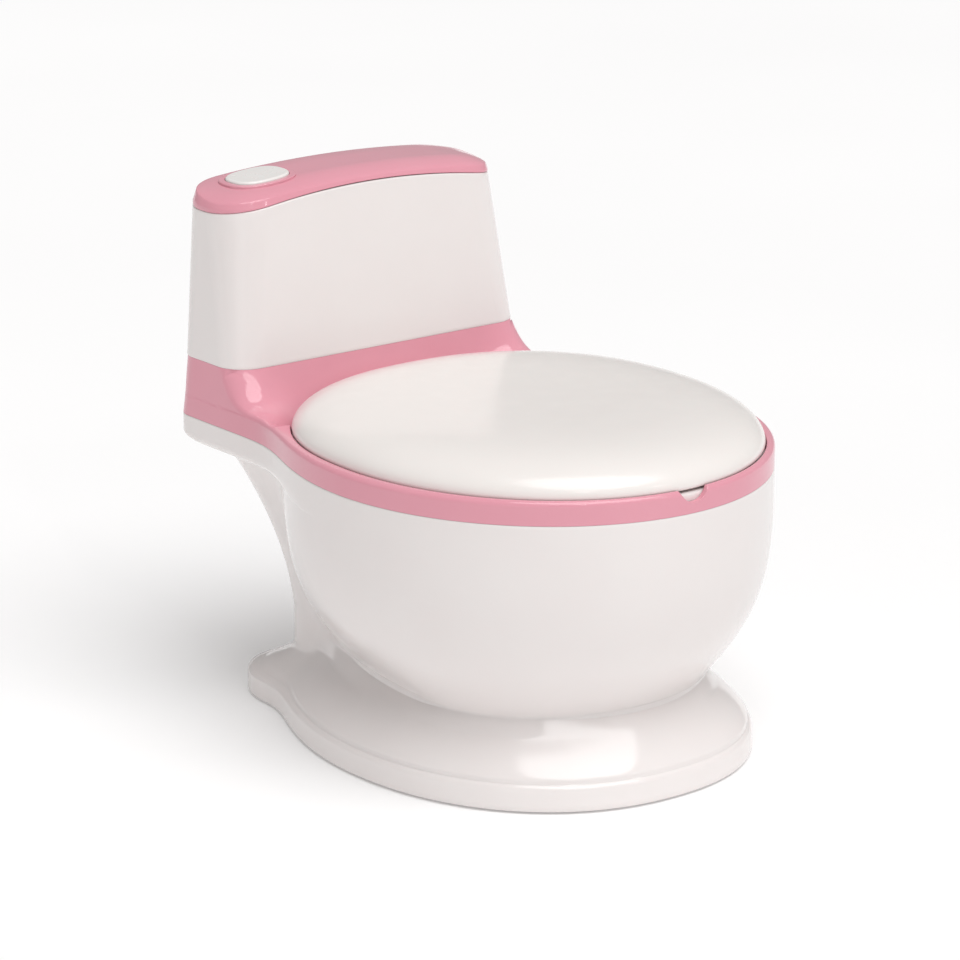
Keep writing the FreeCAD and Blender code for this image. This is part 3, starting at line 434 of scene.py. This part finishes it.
def deck_height(x, y, beyond_gap, before_edge, base_z):
    """Top surface of the deck; the distances run along the line from the bowl's middle."""
    on_block = smooth_step(96.0, 126.0, y)
    rounding = mix(RING_ROUND, FLARE_ROUND, on_block)
    to_wall = before_edge - on_block * WALL_LEAN * (RING_TOP - BAND_Z) / (TANK_Z - BAND_Z)
    depth = np.clip(rounding - to_wall, 0, rounding)
    drop = rounding - np.sqrt(rounding ** 2 - depth ** 2)
    ring_z = base_z - drop
    lean = WALL_LEAN / (TANK_Z - BAND_Z)
    wall_z = BAND_Z + np.maximum(before_edge, 0) / np.maximum(on_block * lean, 1e-3)
    ring_z = np.where(to_wall < 0, np.minimum(ring_z, wall_z), ring_z)
    ring_z = ring_z - 0.6 * np.exp(-beyond_gap / 2.0) * (1 - on_block)
    height = np.maximum(ring_z, plinth_height(x, y, base_z) - drop)
    notch_room = NOTCH_RADIUS ** 2 - x ** 2 - (y - NOTCH_CENTRE[0]) ** 2
    notch_z = NOTCH_CENTRE[1] - np.sqrt(np.maximum(notch_room, 0))
    blend = np.clip(0.5 + 0.5 * (notch_z - height) / NOTCH_SOFTNESS, 0, 1)
    notched = mix(notch_z, height, blend) - NOTCH_SOFTNESS * blend * (1 - blend)
    height = np.where(notch_room > 0, notched, height)
    inner = np.clip(DECK_LIP_ROUND - beyond_gap, 0, DECK_LIP_ROUND)
    return height - DECK_LIP_ROUND + np.sqrt(DECK_LIP_ROUND ** 2 - inner ** 2)


def trough_depth(y, beyond_gap):
    """How far the deck dips behind the lid, where the opening lid swings through."""
    return TROUGH_DEPTH * smooth_step(99.0, 117.0, y) * np.exp(-(beyond_gap / TROUGH_REACH) ** 2)


def along_path(path, count):
    """count points spread evenly along a path of (radius, z) points."""
    steps = np.hypot(*np.diff(path, axis=0).T)
    travelled = np.concatenate([[0], np.cumsum(steps)])
    if travelled[-1] < 1e-9:
        return np.repeat(path[:1], count, axis=0)
    targets = np.linspace(0, travelled[-1], count)
    return np.column_stack([np.interp(targets, travelled, values) for values in path.T])


def deck_bearings():
    """Directions of the deck's columns of points, close together where its shape changes quickly."""
    def turn(start, end, step):
        return list(np.arange(start, end - step / 2, step))

    half = (turn(-90, -82, 0.16) + turn(-82, -20, 1.25) + turn(-20, 34, 1.0) + turn(34, 64, 0.4)
            + turn(64, 90, 1.0))
    angles = set()
    for angle in half + [90.0]:
        angles.add(round(angle, 3))
        angles.add(round(180.0 - angle, 3))
    for y in (BRIDGE_FRONT, BRIDGE_BACK):
        grid = np.radians(np.linspace(20, 80, 2000))
        wall_y = gap_radius(grid) * np.sin(grid)
        crossing = math.degrees(float(np.interp(y, wall_y, grid)))
        for nudge in (-0.12, 0.12):
            angles.add(round(crossing + nudge, 3))
            angles.add(round(180.0 - crossing - nudge, 3))
    unique = {round((angle + 360.0) % 360.0, 3) for angle in angles}
    return np.radians(np.array(sorted(unique)))


def deck_column(angle, gap, edge, facing):
    """Points (radius, z) of one column of the deck, from the pot's mouth outwards to the band's bottom."""
    cosine, sine = math.cos(angle), math.sin(angle)
    # the last sample is the edge itself, and no rounded step may fall past it
    radius = np.append(np.arange(gap, edge - COLUMN_STEP / 2, COLUMN_STEP), edge)
    base_z = RING_TOP - trough_depth(radius * sine, radius - gap)
    height = deck_height(radius * cosine, radius * sine, radius - gap, (edge - radius) * facing, base_z)
    height = np.clip(height, BAND_Z, TANK_Z)
    if sine < 0.3:
        height[-1] = min(height[-1], RING_TOP - RING_ROUND)
    path = np.column_stack([radius, height])
    reached = np.nonzero(height > TANK_Z - 0.004)[0]
    if len(reached) == 0:
        reached = np.nonzero((edge - radius) * facing <= WALL_LEAN)[0][:1]
    first, last = int(reached[0]), int(reached[-1])
    rising = along_path(path[:first + 1], 36)
    level = along_path(path[first:last + 1], 4)[1:]
    falling = along_path(np.vstack([path[last:], [[edge, BAND_Z + SEAM]]]), 30)[1:]
    return np.vstack([recess_column(angle, gap, sine), rising, level, falling])


def recess_column(angle, gap, sine):
    """The column's inner part: the pot's mouth, the seat's floor and the recess that the hinge sits in."""
    mouth = float(egg_radius(np.array(angle), *DECK_MOUTH))
    wall_y = gap * sine
    if wall_y > BRIDGE_BACK:
        back, front = BRIDGE_BACK / sine, BRIDGE_FRONT / sine
        floor = [(front, SEAT_FLOOR), (front, BRIDGE_TOP), (back, BRIDGE_TOP), (back, WELL_FLOOR),
                 (gap, WELL_FLOOR)]
        wall_foot = WELL_FLOOR
    elif wall_y > BRIDGE_FRONT:
        front = BRIDGE_FRONT / sine
        floor = [(front, SEAT_FLOOR), (front, BRIDGE_TOP)] + [(gap, BRIDGE_TOP)] * 3
        wall_foot = BRIDGE_TOP
    else:
        floor = [(gap, SEAT_FLOOR)] * 5
        wall_foot = SEAT_FLOOR
    mouth_rim = [(mouth + 8.0, BAND_Z), (mouth, BAND_Z), (mouth, SEAT_FLOOR - 0.6), (mouth + 0.6, SEAT_FLOOR)]
    return np.array(mouth_rim + floor + [(gap, mix(wall_foot, BRIDGE_TOP, 0.4))])


def tube(centre, axis, radius, length, count=32):
    """Closed cylinder along an axis, as (vertices, faces); centre is its middle."""
    axis = Vector(axis).normalized()
    across = axis.orthogonal().normalized()
    up = axis.cross(across)
    vertices = []
    for end in (-0.5, 0.5):
        for step in range(count):
            angle = 2 * math.pi * step / count
            offset = across * (radius * math.cos(angle)) + up * (radius * math.sin(angle))
            offset += axis * (length * end)
            vertices.append(tuple(Vector(centre) + offset))
    faces = [(step, (step + 1) % count, count + (step + 1) % count, count + step) for step in range(count)]
    faces += [tuple(range(count)), tuple(range(count, 2 * count))]
    return vertices, faces


def join(parts):
    vertices = []
    faces = []
    for part_vertices, part_faces in parts:
        start = len(vertices)
        vertices.extend([tuple(v) for v in part_vertices])
        faces.extend([tuple(start + index for index in face) for face in part_faces])
    return vertices, faces


def seat_deck(material):
    angles = deck_bearings()
    gaps = gap_radius(angles)
    columns = [deck_column(*column) for column in zip(angles, gaps, *deck_edge(angles))]
    stacked = np.array(columns)
    rings = []
    for level in range(stacked.shape[1]):
        radius, z = stacked[:, level, 0], stacked[:, level, 1]
        rings.append(np.column_stack([radius * np.cos(angles), radius * np.sin(angles), z]))
    parts = [skin(rings)]
    for middle in (HINGE_X, -HINGE_X):
        for offset in (-LUG_OFFSET, LUG_OFFSET):
            parts.append(tube((middle + offset, HINGE_Y, HINGE_Z), (1, 0, 0), LUG_RADIUS, LUG_LENGTH))
    for x, y in SCREW_SPOTS:
        top = SEAT_FLOOR - 0.5 if y < 0 else TANK_Z - 1.0
        parts.append(tube((x, y, (POST_FOOT + top) / 2), (0, 0, 1), POST_RADIUS, top - POST_FOOT))
    vertices, faces = join(parts)
    piece = add_piece("seat_deck_skin", vertices, faces, "chair", material, 50)
    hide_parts("seat_deck")


# ---------------------------------------------------------------- lid
def lid_dome(material):
    rings = []
    shares = 1 - np.linspace(0, 1, 44) ** 2.0
    shares = np.clip(shares[:-1], 0.012, 1)
    inner_shares = shares[::-1]
    for share in inner_shares:
        z = LID_EDGE_Z + (LID_RISE - 2.5) * (1 - share ** 6) ** 0.54
        rings.append(at_height(lid_outline(-2.5, share), z))
    rings.append(at_height(lid_outline(-2.5), LID_RIM_BOTTOM + 0.3))
    rings.append(at_height(lid_outline(-2.2), LID_RIM_BOTTOM))
    rings.append(at_height(lid_outline(-0.9), LID_RIM_BOTTOM))
    rings.append(at_height(lid_outline(-0.4), LID_RIM_BOTTOM + 0.25))
    rings.append(at_height(lid_outline(-0.1), LID_RIM_BOTTOM + 0.8))
    for share in shares:
        z = LID_EDGE_Z + LID_RISE * (1 - share ** 6) ** 0.54
        rings.append(at_height(lid_outline(0.0, share), z))
    vertices, faces = skin(rings, close_last=True, close_first=True)
    piece = add_piece("lid_dome_skin", vertices, faces, "lid", material)
    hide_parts("lid_dome")


# ---------------------------------------------------------------- tank
def tank_section(z, inset):
    rise = min(1.0, (z - TANK_Z) / (TANK_TOP - TANK_Z))
    half_width, front, back, corner = [mix(low, high, rise) for low, high in zip(TANK_BASE, TANK_CREST)]
    return rounded_box(half_width - inset, front + inset, back - inset, corner - inset)


def seam_z(x):
    return TANK_TOP + TANK_ARCH * (1 - (x / TANK_CREST[0]) ** 2)


def tank_ring(share, inset, below_seam=0.0):
    """Loop round the tank at a share of its height, which follows the arch of the seam at the top."""
    flat = tank_section(mix(TANK_Z, TANK_TOP, share), inset)
    z = mix(TANK_Z, seam_z(flat[:, 0]) - 0.3, share) - below_seam
    return np.column_stack([flat, z])


def tank_shell(material):
    rings = [at_height(tank_section(TANK_Z, WALL), TANK_Z), at_height(tank_section(TANK_Z, 0.35), TANK_Z)]
    rings.append(at_height(tank_section(TANK_Z, 0.1), TANK_Z + 0.1))
    rings.append(at_height(tank_section(TANK_Z, 0.0), TANK_Z + 0.35))
    for share in np.linspace(0.02, 0.985, 26):
        rings.append(tank_ring(share, 0.0))
    rings.append(tank_ring(1.0, 0.0, 0.7))
    rings.append(tank_ring(1.0, 0.2, 0.2))
    rings.append(tank_ring(1.0, 0.7))
    rings.append(tank_ring(1.0, WALL))
    for share in np.linspace(0.97, 0.03, 10):
        rings.append(tank_ring(share, WALL))
    rings.append(at_height(tank_section(TANK_Z, WALL), TANK_Z))
    vertices, faces = skin(rings)
    piece = add_piece("tank_shell_skin", vertices, faces, "chair", material)
    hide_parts("tank_shell")


def drill(piece, rings):
    """Cut a hole through a piece; the rings bound what is taken away."""
    vertices, faces = skin(rings, close_last=True, close_first=True)
    mesh = bpy.data.meshes.new("cutter")
    mesh.from_pydata([tuple(v) for v in place(vertices)], [], faces)
    tidy_normals(mesh)
    cutter = bpy.data.objects.new("cutter", mesh)
    bpy.context.scene.collection.objects.link(cutter)
    modifier = piece.modifiers.new("hole", "BOOLEAN")
    modifier.operation = "DIFFERENCE"
    modifier.object = cutter
    drilled = bpy.data.meshes.new_from_object(piece.evaluated_get(bpy.context.evaluated_depsgraph_get()))
    piece.modifiers.clear()
    piece.data = drilled
    bpy.data.objects.remove(cutter)


def crown_z(x):
    """Highest line of the tank lid's arched top."""
    return TANK_TOP + TANK_LID_EDGE + TANK_LID_CROWN * (1 - (x / (TANK_CREST[0] - TANK_LID_INSET)) ** 2)


def crest_outline(inset):
    half_width, front, back, corner = TANK_CREST
    return rounded_box(half_width - inset, front + inset, back - inset, corner - inset)


def crest_loop(inset, height, narrowing=0.0):
    """Loop with the tank lid's outline, which leans inwards, closed up towards its middle line."""
    flat = crest_outline(inset)
    z = height(*flat.T)
    lean = TANK_LID_LEAN * np.maximum(0, z - LEAN_FOOT)
    flat = flat + (crest_outline(inset + 1.0) - flat) * lean[:, None]
    flat[:, 1] = mix(flat[:, 1], (TANK_CREST[1] + TANK_CREST[2]) / 2, narrowing)
    return np.column_stack([flat, z])


def tank_lid_rings():
    """Loops of the tank lid's skin: out under the roof, round the lip and the side, then in over the top."""
    def below_crown(drop):
        return lambda x, y: crown_z(x) - drop * mix(1.0, 0.2, smooth_step(180.0, 215.0, y))

    def above_seam(rise):
        return lambda x, y: seam_z(x) + rise

    def up_the_side(share):
        return lambda x, y: mix(above_seam(0.5)(x, y), below_crown(side_top)(x, y), share)

    side_top = PILLOW_DROP + 0.5
    lip_outside, lip_inside = TANK_LIP
    lip_and_edge = [
        (lip_inside, below_crown(TANK_LID_ROOF)), (lip_inside, above_seam(-TANK_LIP_DEPTH)),
        (lip_outside + 0.2, above_seam(-TANK_LIP_DEPTH)), (lip_outside, above_seam(0.2 - TANK_LIP_DEPTH)),
        (lip_outside, above_seam(SEAM)), (0.3, above_seam(SEAM)), (0.1, above_seam(3 * SEAM)),
        (0.0, above_seam(0.5)),
    ]
    rings = [crest_loop(PILLOW_REACH, below_crown(TANK_LID_ROOF), narrowing) for narrowing in (1.0, 0.6, 0.0)]
    rings += [crest_loop(inset, height) for inset, height in lip_and_edge]
    rings += [crest_loop(0.3 * share, up_the_side(share)) for share in np.linspace(0.2, 1.0, 5)]
    rings += [crest_loop(0.5, below_crown(side_top - 0.4)), crest_loop(1.1, below_crown(side_top - 0.8))]
    for inset in np.linspace(2.0, PILLOW_REACH, 12):
        slope = (1 - inset / PILLOW_REACH) ** 2
        rings.append(crest_loop(inset, below_crown(PILLOW_DROP * slope)))
    rings += [crest_loop(PILLOW_REACH, below_crown(0.0), narrowing) for narrowing in np.linspace(0.2, 1.0, 5)]
    return rings


def tank_lid(material):
    parts = [skin(tank_lid_rings())]
    for x in (CASE_X[0] + CASE_POST_INSET, CASE_X[1] - CASE_POST_INSET):
        for y in (CASE_Y[0] + CASE_POST_INSET, CASE_Y[1] - CASE_POST_INSET):
            top = crown_z(abs(x) + CASE_POST_RADIUS) - 3.5
            middle = (x, y, (CASE_TOP + top) / 2)
            parts.append(tube(middle, (0, 0, 1), CASE_POST_RADIUS, top - CASE_TOP))
    vertices, faces = join(parts)
    piece = add_piece("tank_lid_skin", vertices, faces, "tank_cover", material)
    hole = oval(BEZEL_HALF[0], BEZEL_HALF[1], BEZEL_HALF[1], 120, 2.6, 2.6) + np.array(BUTTON_SPOT)
    drill(piece, [at_height(hole, TANK_TOP - 2.0), at_height(hole, TANK_TOP + 30.0)])
    piece.data.set_sharp_from_angle(angle=math.radians(50))
    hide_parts("tank_lid")


def button_spring(material):
    """Coil under the button, its foot on the sound module."""
    turns = 5
    rings = []
    for turn in np.linspace(0, 2 * math.pi * turns, 32 * turns + 1):
        outward = np.array([math.cos(turn), math.sin(turn), 0.0])
        height = mix(*SPRING_Z, turn / (2 * math.pi * turns))
        middle = np.array([*BUTTON_SPOT, height]) + SPRING_RADIUS * outward
        ring = [middle + WIRE_RADIUS * (math.cos(a) * outward + np.array([0.0, 0.0, math.sin(a)]))
                for a in np.linspace(0, 2 * math.pi, 8, endpoint=False)]
        rings.append(np.array(ring))
    vertices, faces = skin(rings, close_last=True, close_first=True)
    piece = add_piece("button_spring_skin", vertices, faces, "button", material)
    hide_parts("button_spring")
    top = place([*BUTTON_SPOT, SPRING_Z[1]])
    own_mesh(piece)


# ---------------------------------------------------------------- seat ring and pot
def polar_rings(angles, levels):
    """Loops about the middle, from (radius in each direction, z) pairs."""
    rings = []
    for radius, z in levels:
        rings.append(np.column_stack([radius * np.cos(angles), radius * np.sin(angles),
                                      np.full(len(angles), float(z))]))
    return rings


def seat_ring(material):
    angles = np.radians(np.linspace(0, 360, 288, endpoint=False) + 0.4)
    rear_edge = (BRIDGE_FRONT - 0.8) / np.maximum(np.sin(angles), 1e-3)

    def rim(margin):
        oval_edge = egg_radius(angles, LID_HALF_WIDTH + margin, LID_FRONT + margin, LID_REAR + margin,
                               LID_FRONT_POWER, LID_REAR_POWER)
        return np.where(np.sin(angles) > 0, np.minimum(oval_edge, rear_edge + margin), oval_edge)

    def hole(widening):
        return egg_radius(angles, *[size + widening for size in SEAT_HOLE])

    outer = [(rim(0.0), SEAT_BASE)]
    for inward, down in reversed(quarter_round(7)):
        outer.append((rim(-2.5 * inward), SEAT_TOP - 2.5 * down))
    crown = [(mix(rim(-2.5), hole(6.0), share), SEAT_TOP - 0.25 * math.sin(math.pi * share))
             for share in np.linspace(0.15, 1.0, 8)]
    lip = [(hole(6.0 * (1 - math.sin(a))), SEAT_TOP - 4.0 * (1 - math.cos(a)))
           for a in np.linspace(0.15, math.pi / 2, 9)]
    under = [(hole(0.0), SEAT_BASE), (hole(4.0), SEAT_BASE), (hole(4.0), SEAT_TOP - 3.0),
             (rim(-5.0), SEAT_TOP - 3.0), (rim(-5.0), SEAT_BASE), (rim(0.0), SEAT_BASE)]
    vertices, faces = skin(polar_rings(angles, outer + crown + lip + under))
    piece = add_piece("seat_ring_skin", vertices, faces, "chair", material, 60)
    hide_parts("seat_ring")


def pot_wall(angles, mouth, base, bottom_z, top_z, rises):
    levels = []
    for rise in rises:
        spread = math.sin(rise * math.pi / 2) ** 0.8
        reach = [mix(low, high, spread) for low, high in zip(base, mouth)]
        levels.append((egg_radius(angles, *reach), mix(bottom_z, top_z, rise ** 1.3)))
    return levels


def inner_pot(material):
    angles = np.radians(np.linspace(0, 360, 160, endpoint=False))
    rises = np.linspace(0, 1, 30)
    outer = pot_wall(angles, POT_MOUTH, POT_BASE, POT_BOTTOM, SEAT_BASE, rises)
    inner_mouth = [size - POT_WALL for size in POT_MOUTH]
    inner_base = [size - POT_WALL for size in POT_BASE]
    inner = pot_wall(angles, inner_mouth, inner_base, POT_BOTTOM + POT_WALL, SEAT_BASE + 1.0, rises)
    rim = [(egg_radius(angles, *POT_RIM), SEAT_BASE), (egg_radius(angles, *POT_RIM), SEAT_BASE + 1.6),
           (egg_radius(angles, *[size - 0.8 for size in POT_RIM]), SEAT_BASE + 2.4),
           (egg_radius(angles, *[size + 1.2 for size in POT_MOUTH]), SEAT_BASE + 2.4)]
    levels = outer + rim + inner[::-1]
    vertices, faces = skin(polar_rings(angles, levels), close_last=True, close_first=True)
    piece = add_piece("inner_pot_skin", vertices, faces, "chair", material, 60)
    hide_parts("inner_pot")


# ---------------------------------------------------------------- materials
def node_material(name):
    material = bpy.data.materials.new(name)
    material.use_nodes = True
    tree = material.node_tree
    tree.nodes.clear()
    output = tree.nodes.new("ShaderNodeOutputMaterial")
    shader = tree.nodes.new("ShaderNodeBsdfPrincipled")
    tree.links.new(shader.outputs["BSDF"], output.inputs["Surface"])
    return material, tree, shader


def noise(tree, scale, detail):
    place_node = tree.nodes.new("ShaderNodeTexCoord")
    texture = tree.nodes.new("ShaderNodeTexNoise")
    texture.inputs["Scale"].default_value = scale
    texture.inputs["Detail"].default_value = detail
    tree.links.new(place_node.outputs["Object"], texture.inputs["Vector"])
    return texture.outputs["Fac"]


def spread(tree, value, low, high):
    """Carry a noise value, which stays near its middle, over to the range from low to high."""
    range_node = tree.nodes.new("ShaderNodeMapRange")
    range_node.inputs["From Min"].default_value = 0.3
    range_node.inputs["From Max"].default_value = 0.7
    range_node.inputs["To Min"].default_value = low
    range_node.inputs["To Max"].default_value = high
    tree.links.new(value, range_node.inputs["Value"])
    return range_node.outputs["Result"]


def tint(tree, value, first, second):
    mixer = tree.nodes.new("ShaderNodeMix")
    mixer.data_type = "RGBA"
    mixer.inputs["A"].default_value = (*first, 1)
    mixer.inputs["B"].default_value = (*second, 1)
    tree.links.new(value, mixer.inputs["Factor"])
    return mixer.outputs["Result"]


def bump(tree, shader, value, strength, distance):
    node = tree.nodes.new("ShaderNodeBump")
    node.inputs["Strength"].default_value = strength
    node.inputs["Distance"].default_value = distance
    tree.links.new(value, node.inputs["Height"])
    tree.links.new(node.outputs["Normal"], shader.inputs["Normal"])


def moulded_plastic(name, colour, shade, roughness, ripple=0.05):
    """Glossy moulded plastic: faint cloudiness, slightly uneven gloss and the long ripple of a moulding."""
    material, tree, shader = node_material(name)
    cloud = spread(tree, noise(tree, 16.0, 4.0), 0.0, 1.0)
    tree.links.new(tint(tree, cloud, colour, shade), shader.inputs["Base Color"])
    gloss = spread(tree, noise(tree, 60.0, 5.0), roughness - 0.03, roughness + 0.05)
    tree.links.new(gloss, shader.inputs["Roughness"])
    shader.inputs["IOR"].default_value = 1.5
    shader.inputs["Subsurface Weight"].default_value = 0.06
    shader.inputs["Subsurface Radius"].default_value = (0.004, 0.003, 0.003)
    bump(tree, shader, noise(tree, 34.0, 2.0), ripple, 0.0006)
    return material


def plain_detail(name, colour, shade, roughness, metallic, scale, grain):
    """Small hardware: colour and roughness broken up by a fine grain."""
    material, tree, shader = node_material(name)
    speckle = spread(tree, noise(tree, scale, 4.0), 0.0, 1.0)
    tree.links.new(tint(tree, speckle, colour, shade), shader.inputs["Base Color"])
    tree.links.new(spread(tree, noise(tree, scale * 2, 3.0), roughness * 0.8, roughness * 1.2),
                   shader.inputs["Roughness"])
    shader.inputs["Metallic"].default_value = metallic
    bump(tree, shader, noise(tree, scale * 4, 2.0), grain, 0.0002)
    return material


def circuit_material():
    """Green board with a lattice of paler copper tracks under the lacquer."""
    material, tree, shader = node_material("board_lacquer")
    place_node = tree.nodes.new("ShaderNodeTexCoord")
    tracks = tree.nodes.new("ShaderNodeTexBrick")
    tracks.inputs["Scale"].default_value = 160.0
    tracks.inputs["Mortar Size"].default_value = 0.03
    tracks.inputs["Color1"].default_value = (0.01, 0.11, 0.04, 1)
    tracks.inputs["Color2"].default_value = (0.012, 0.13, 0.05, 1)
    tracks.inputs["Mortar"].default_value = (0.05, 0.3, 0.11, 1)
    tree.links.new(place_node.outputs["Object"], tracks.inputs["Vector"])
    tree.links.new(tracks.outputs["Color"], shader.inputs["Base Color"])
    shader.inputs["Roughness"].default_value = 0.35
    bump(tree, shader, noise(tree, 900.0, 2.0), 0.1, 0.0001)
    return material


def floor_material():
    material, tree, shader = node_material("studio_floor")
    cloud = spread(tree, noise(tree, 1.5, 2.0), 0.0, 1.0)
    tree.links.new(tint(tree, cloud, (0.88, 0.88, 0.88), (0.9, 0.9, 0.9)), shader.inputs["Base Color"])
    shader.inputs["Roughness"].default_value = 0.75
    shader.inputs["Specular IOR Level"].default_value = 0.2
    shader.inputs["Emission Color"].default_value = (1.0, 1.0, 1.0, 1)
    shader.inputs["Emission Strength"].default_value = 0.12
    return material


def build_materials():
    white = moulded_plastic("white_plastic", (0.88, 0.835, 0.82), (0.865, 0.815, 0.80), 0.11)
    lid_white = moulded_plastic("lid_plastic", (0.89, 0.85, 0.82), (0.875, 0.835, 0.805), 0.19)
    pink = moulded_plastic("pink_plastic", (0.80, 0.355, 0.43), (0.78, 0.335, 0.41), 0.10)
    return {
        "white": white,
        "lid_white": lid_white,
        "pink": pink,
        "warm_white": moulded_plastic("button_plastic", (0.88, 0.86, 0.84), (0.86, 0.84, 0.81), 0.25),
        "rubber": plain_detail("rubber", (0.09, 0.09, 0.1), (0.06, 0.06, 0.065), 0.75, 0.0, 300.0, 0.3),
        "steel": plain_detail("zinc_steel", (0.62, 0.62, 0.64), (0.5, 0.5, 0.53), 0.3, 1.0, 500.0, 0.12),
        "nickel": plain_detail("nickel_contact", (0.72, 0.68, 0.56), (0.6, 0.56, 0.45), 0.25, 1.0,
                               400.0, 0.08),
        "black": plain_detail("black_plastic", (0.02, 0.02, 0.022), (0.035, 0.035, 0.037), 0.45, 0.0,
                              350.0, 0.15),
        "paper": plain_detail("cone_paper", (0.045, 0.04, 0.038), (0.075, 0.068, 0.06), 0.85, 0.0,
                              600.0, 0.4),
        "wrap": plain_detail("cell_wrap", (0.05, 0.14, 0.3), (0.04, 0.11, 0.26), 0.35, 0.2, 120.0, 0.05),
        "board": circuit_material(),
    }


CAD_FINISHES = {
    "button_bezel": "pink", "flush_button": "warm_white", "lid_liner": "lid_white",
    "lid_bumpers": "rubber", "foot_pads": "rubber", "hinge_pins": "steel", "deck_screws": "steel",
    "tank_screws": "steel", "case_screws": "steel", "battery_door_screw": "steel",
    "sound_case": "white", "battery_door": "white", "circuit_board": "board", "push_switch": "black",
    "sound_chip": "black", "speaker_frame": "black", "speaker_cone": "paper", "battery_cells": "wrap",
    "battery_contacts": "nickel",
}


def finish_cad_nodes(materials):
    for name, finish in CAD_FINISHES.items():
        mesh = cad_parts[name].data
        mesh.materials.clear()
        mesh.materials.append(materials[finish])


# ---------------------------------------------------------------- studio
def studio_floor():
    bpy.ops.mesh.primitive_plane_add(size=16.0, location=(0, 0, CAD_LOW[2] - 0.0002))
    floor = bpy.context.object
    floor.name = "studio_floor"
    floor.data.materials.append(floor_material())


def area_light(name, position, target, size, power):
    data = bpy.data.lights.new(name, "AREA")
    data.shape = "RECTANGLE"
    data.size, data.size_y = size
    data.energy = power
    lamp = bpy.data.objects.new(name, data)
    bpy.context.scene.collection.objects.link(lamp)
    lamp.location = position
    lamp.rotation_euler = (Vector(target) - Vector(position)).to_track_quat("-Z", "Y").to_euler()


def sun_light(name, towards, strength, spread_degrees):
    data = bpy.data.lights.new(name, "SUN")
    data.energy = strength
    data.angle = math.radians(spread_degrees)
    lamp = bpy.data.objects.new(name, data)
    bpy.context.scene.collection.objects.link(lamp)
    lamp.rotation_euler = Vector(towards).to_track_quat("Z", "Y").to_euler()


def studio_light():
    world = bpy.data.worlds.new("studio")
    bpy.context.scene.world = world
    world.use_nodes = True
    background = world.node_tree.nodes["Background"]
    background.inputs["Color"].default_value = (1.0, 0.98, 0.975, 1)
    background.inputs["Strength"].default_value = 0.36
    sun_light("overhead", (0.0, -0.38, 0.925), 2.1, 50)
    area_light("low_fill", (-1.7, -1.3, 0.45), (0, 0, 0.1), (1.0, 0.7), 0.9)
    area_light("left_softbox", (-0.9, -2.3, 1.9), (0, 0, 0.15), (0.12, 0.2), 2.5)
    area_light("right_softbox", (0.9, -2.5, 1.5), (0, 0, 0.15), (0.1, 0.16), 1.6)


def studio_camera():
    data = bpy.data.cameras.new("photo_view")
    data.sensor_width = 36.0
    data.lens = 166.6
    data.clip_end = 50.0
    camera = bpy.data.objects.new("photo_view", data)
    bpy.context.scene.collection.objects.link(camera)
    shift = MIDDLE_Y / 1000
    position = Vector((-1.6240, -2.0648 + shift, 0.9440))
    target = Vector((-0.03788, shift, 0.17272))
    camera.location = position
    camera.rotation_euler = (target - position).to_track_quat("-Z", "Y").to_euler()
    bpy.context.scene.camera = camera


def main():
    materials = build_materials()
    body_shell(materials["white"])
    seat_deck(materials["pink"])
    seat_ring(materials["white"])
    inner_pot(materials["white"])
    lid_dome(materials["lid_white"])
    tank_shell(materials["white"])
    tank_lid(materials["pink"])
    button_spring(materials["steel"])
    finish_cad_nodes(materials)
    studio_floor()
    studio_light()
    studio_camera()
    bpy.context.scene.view_settings.view_transform = "Standard"


main()
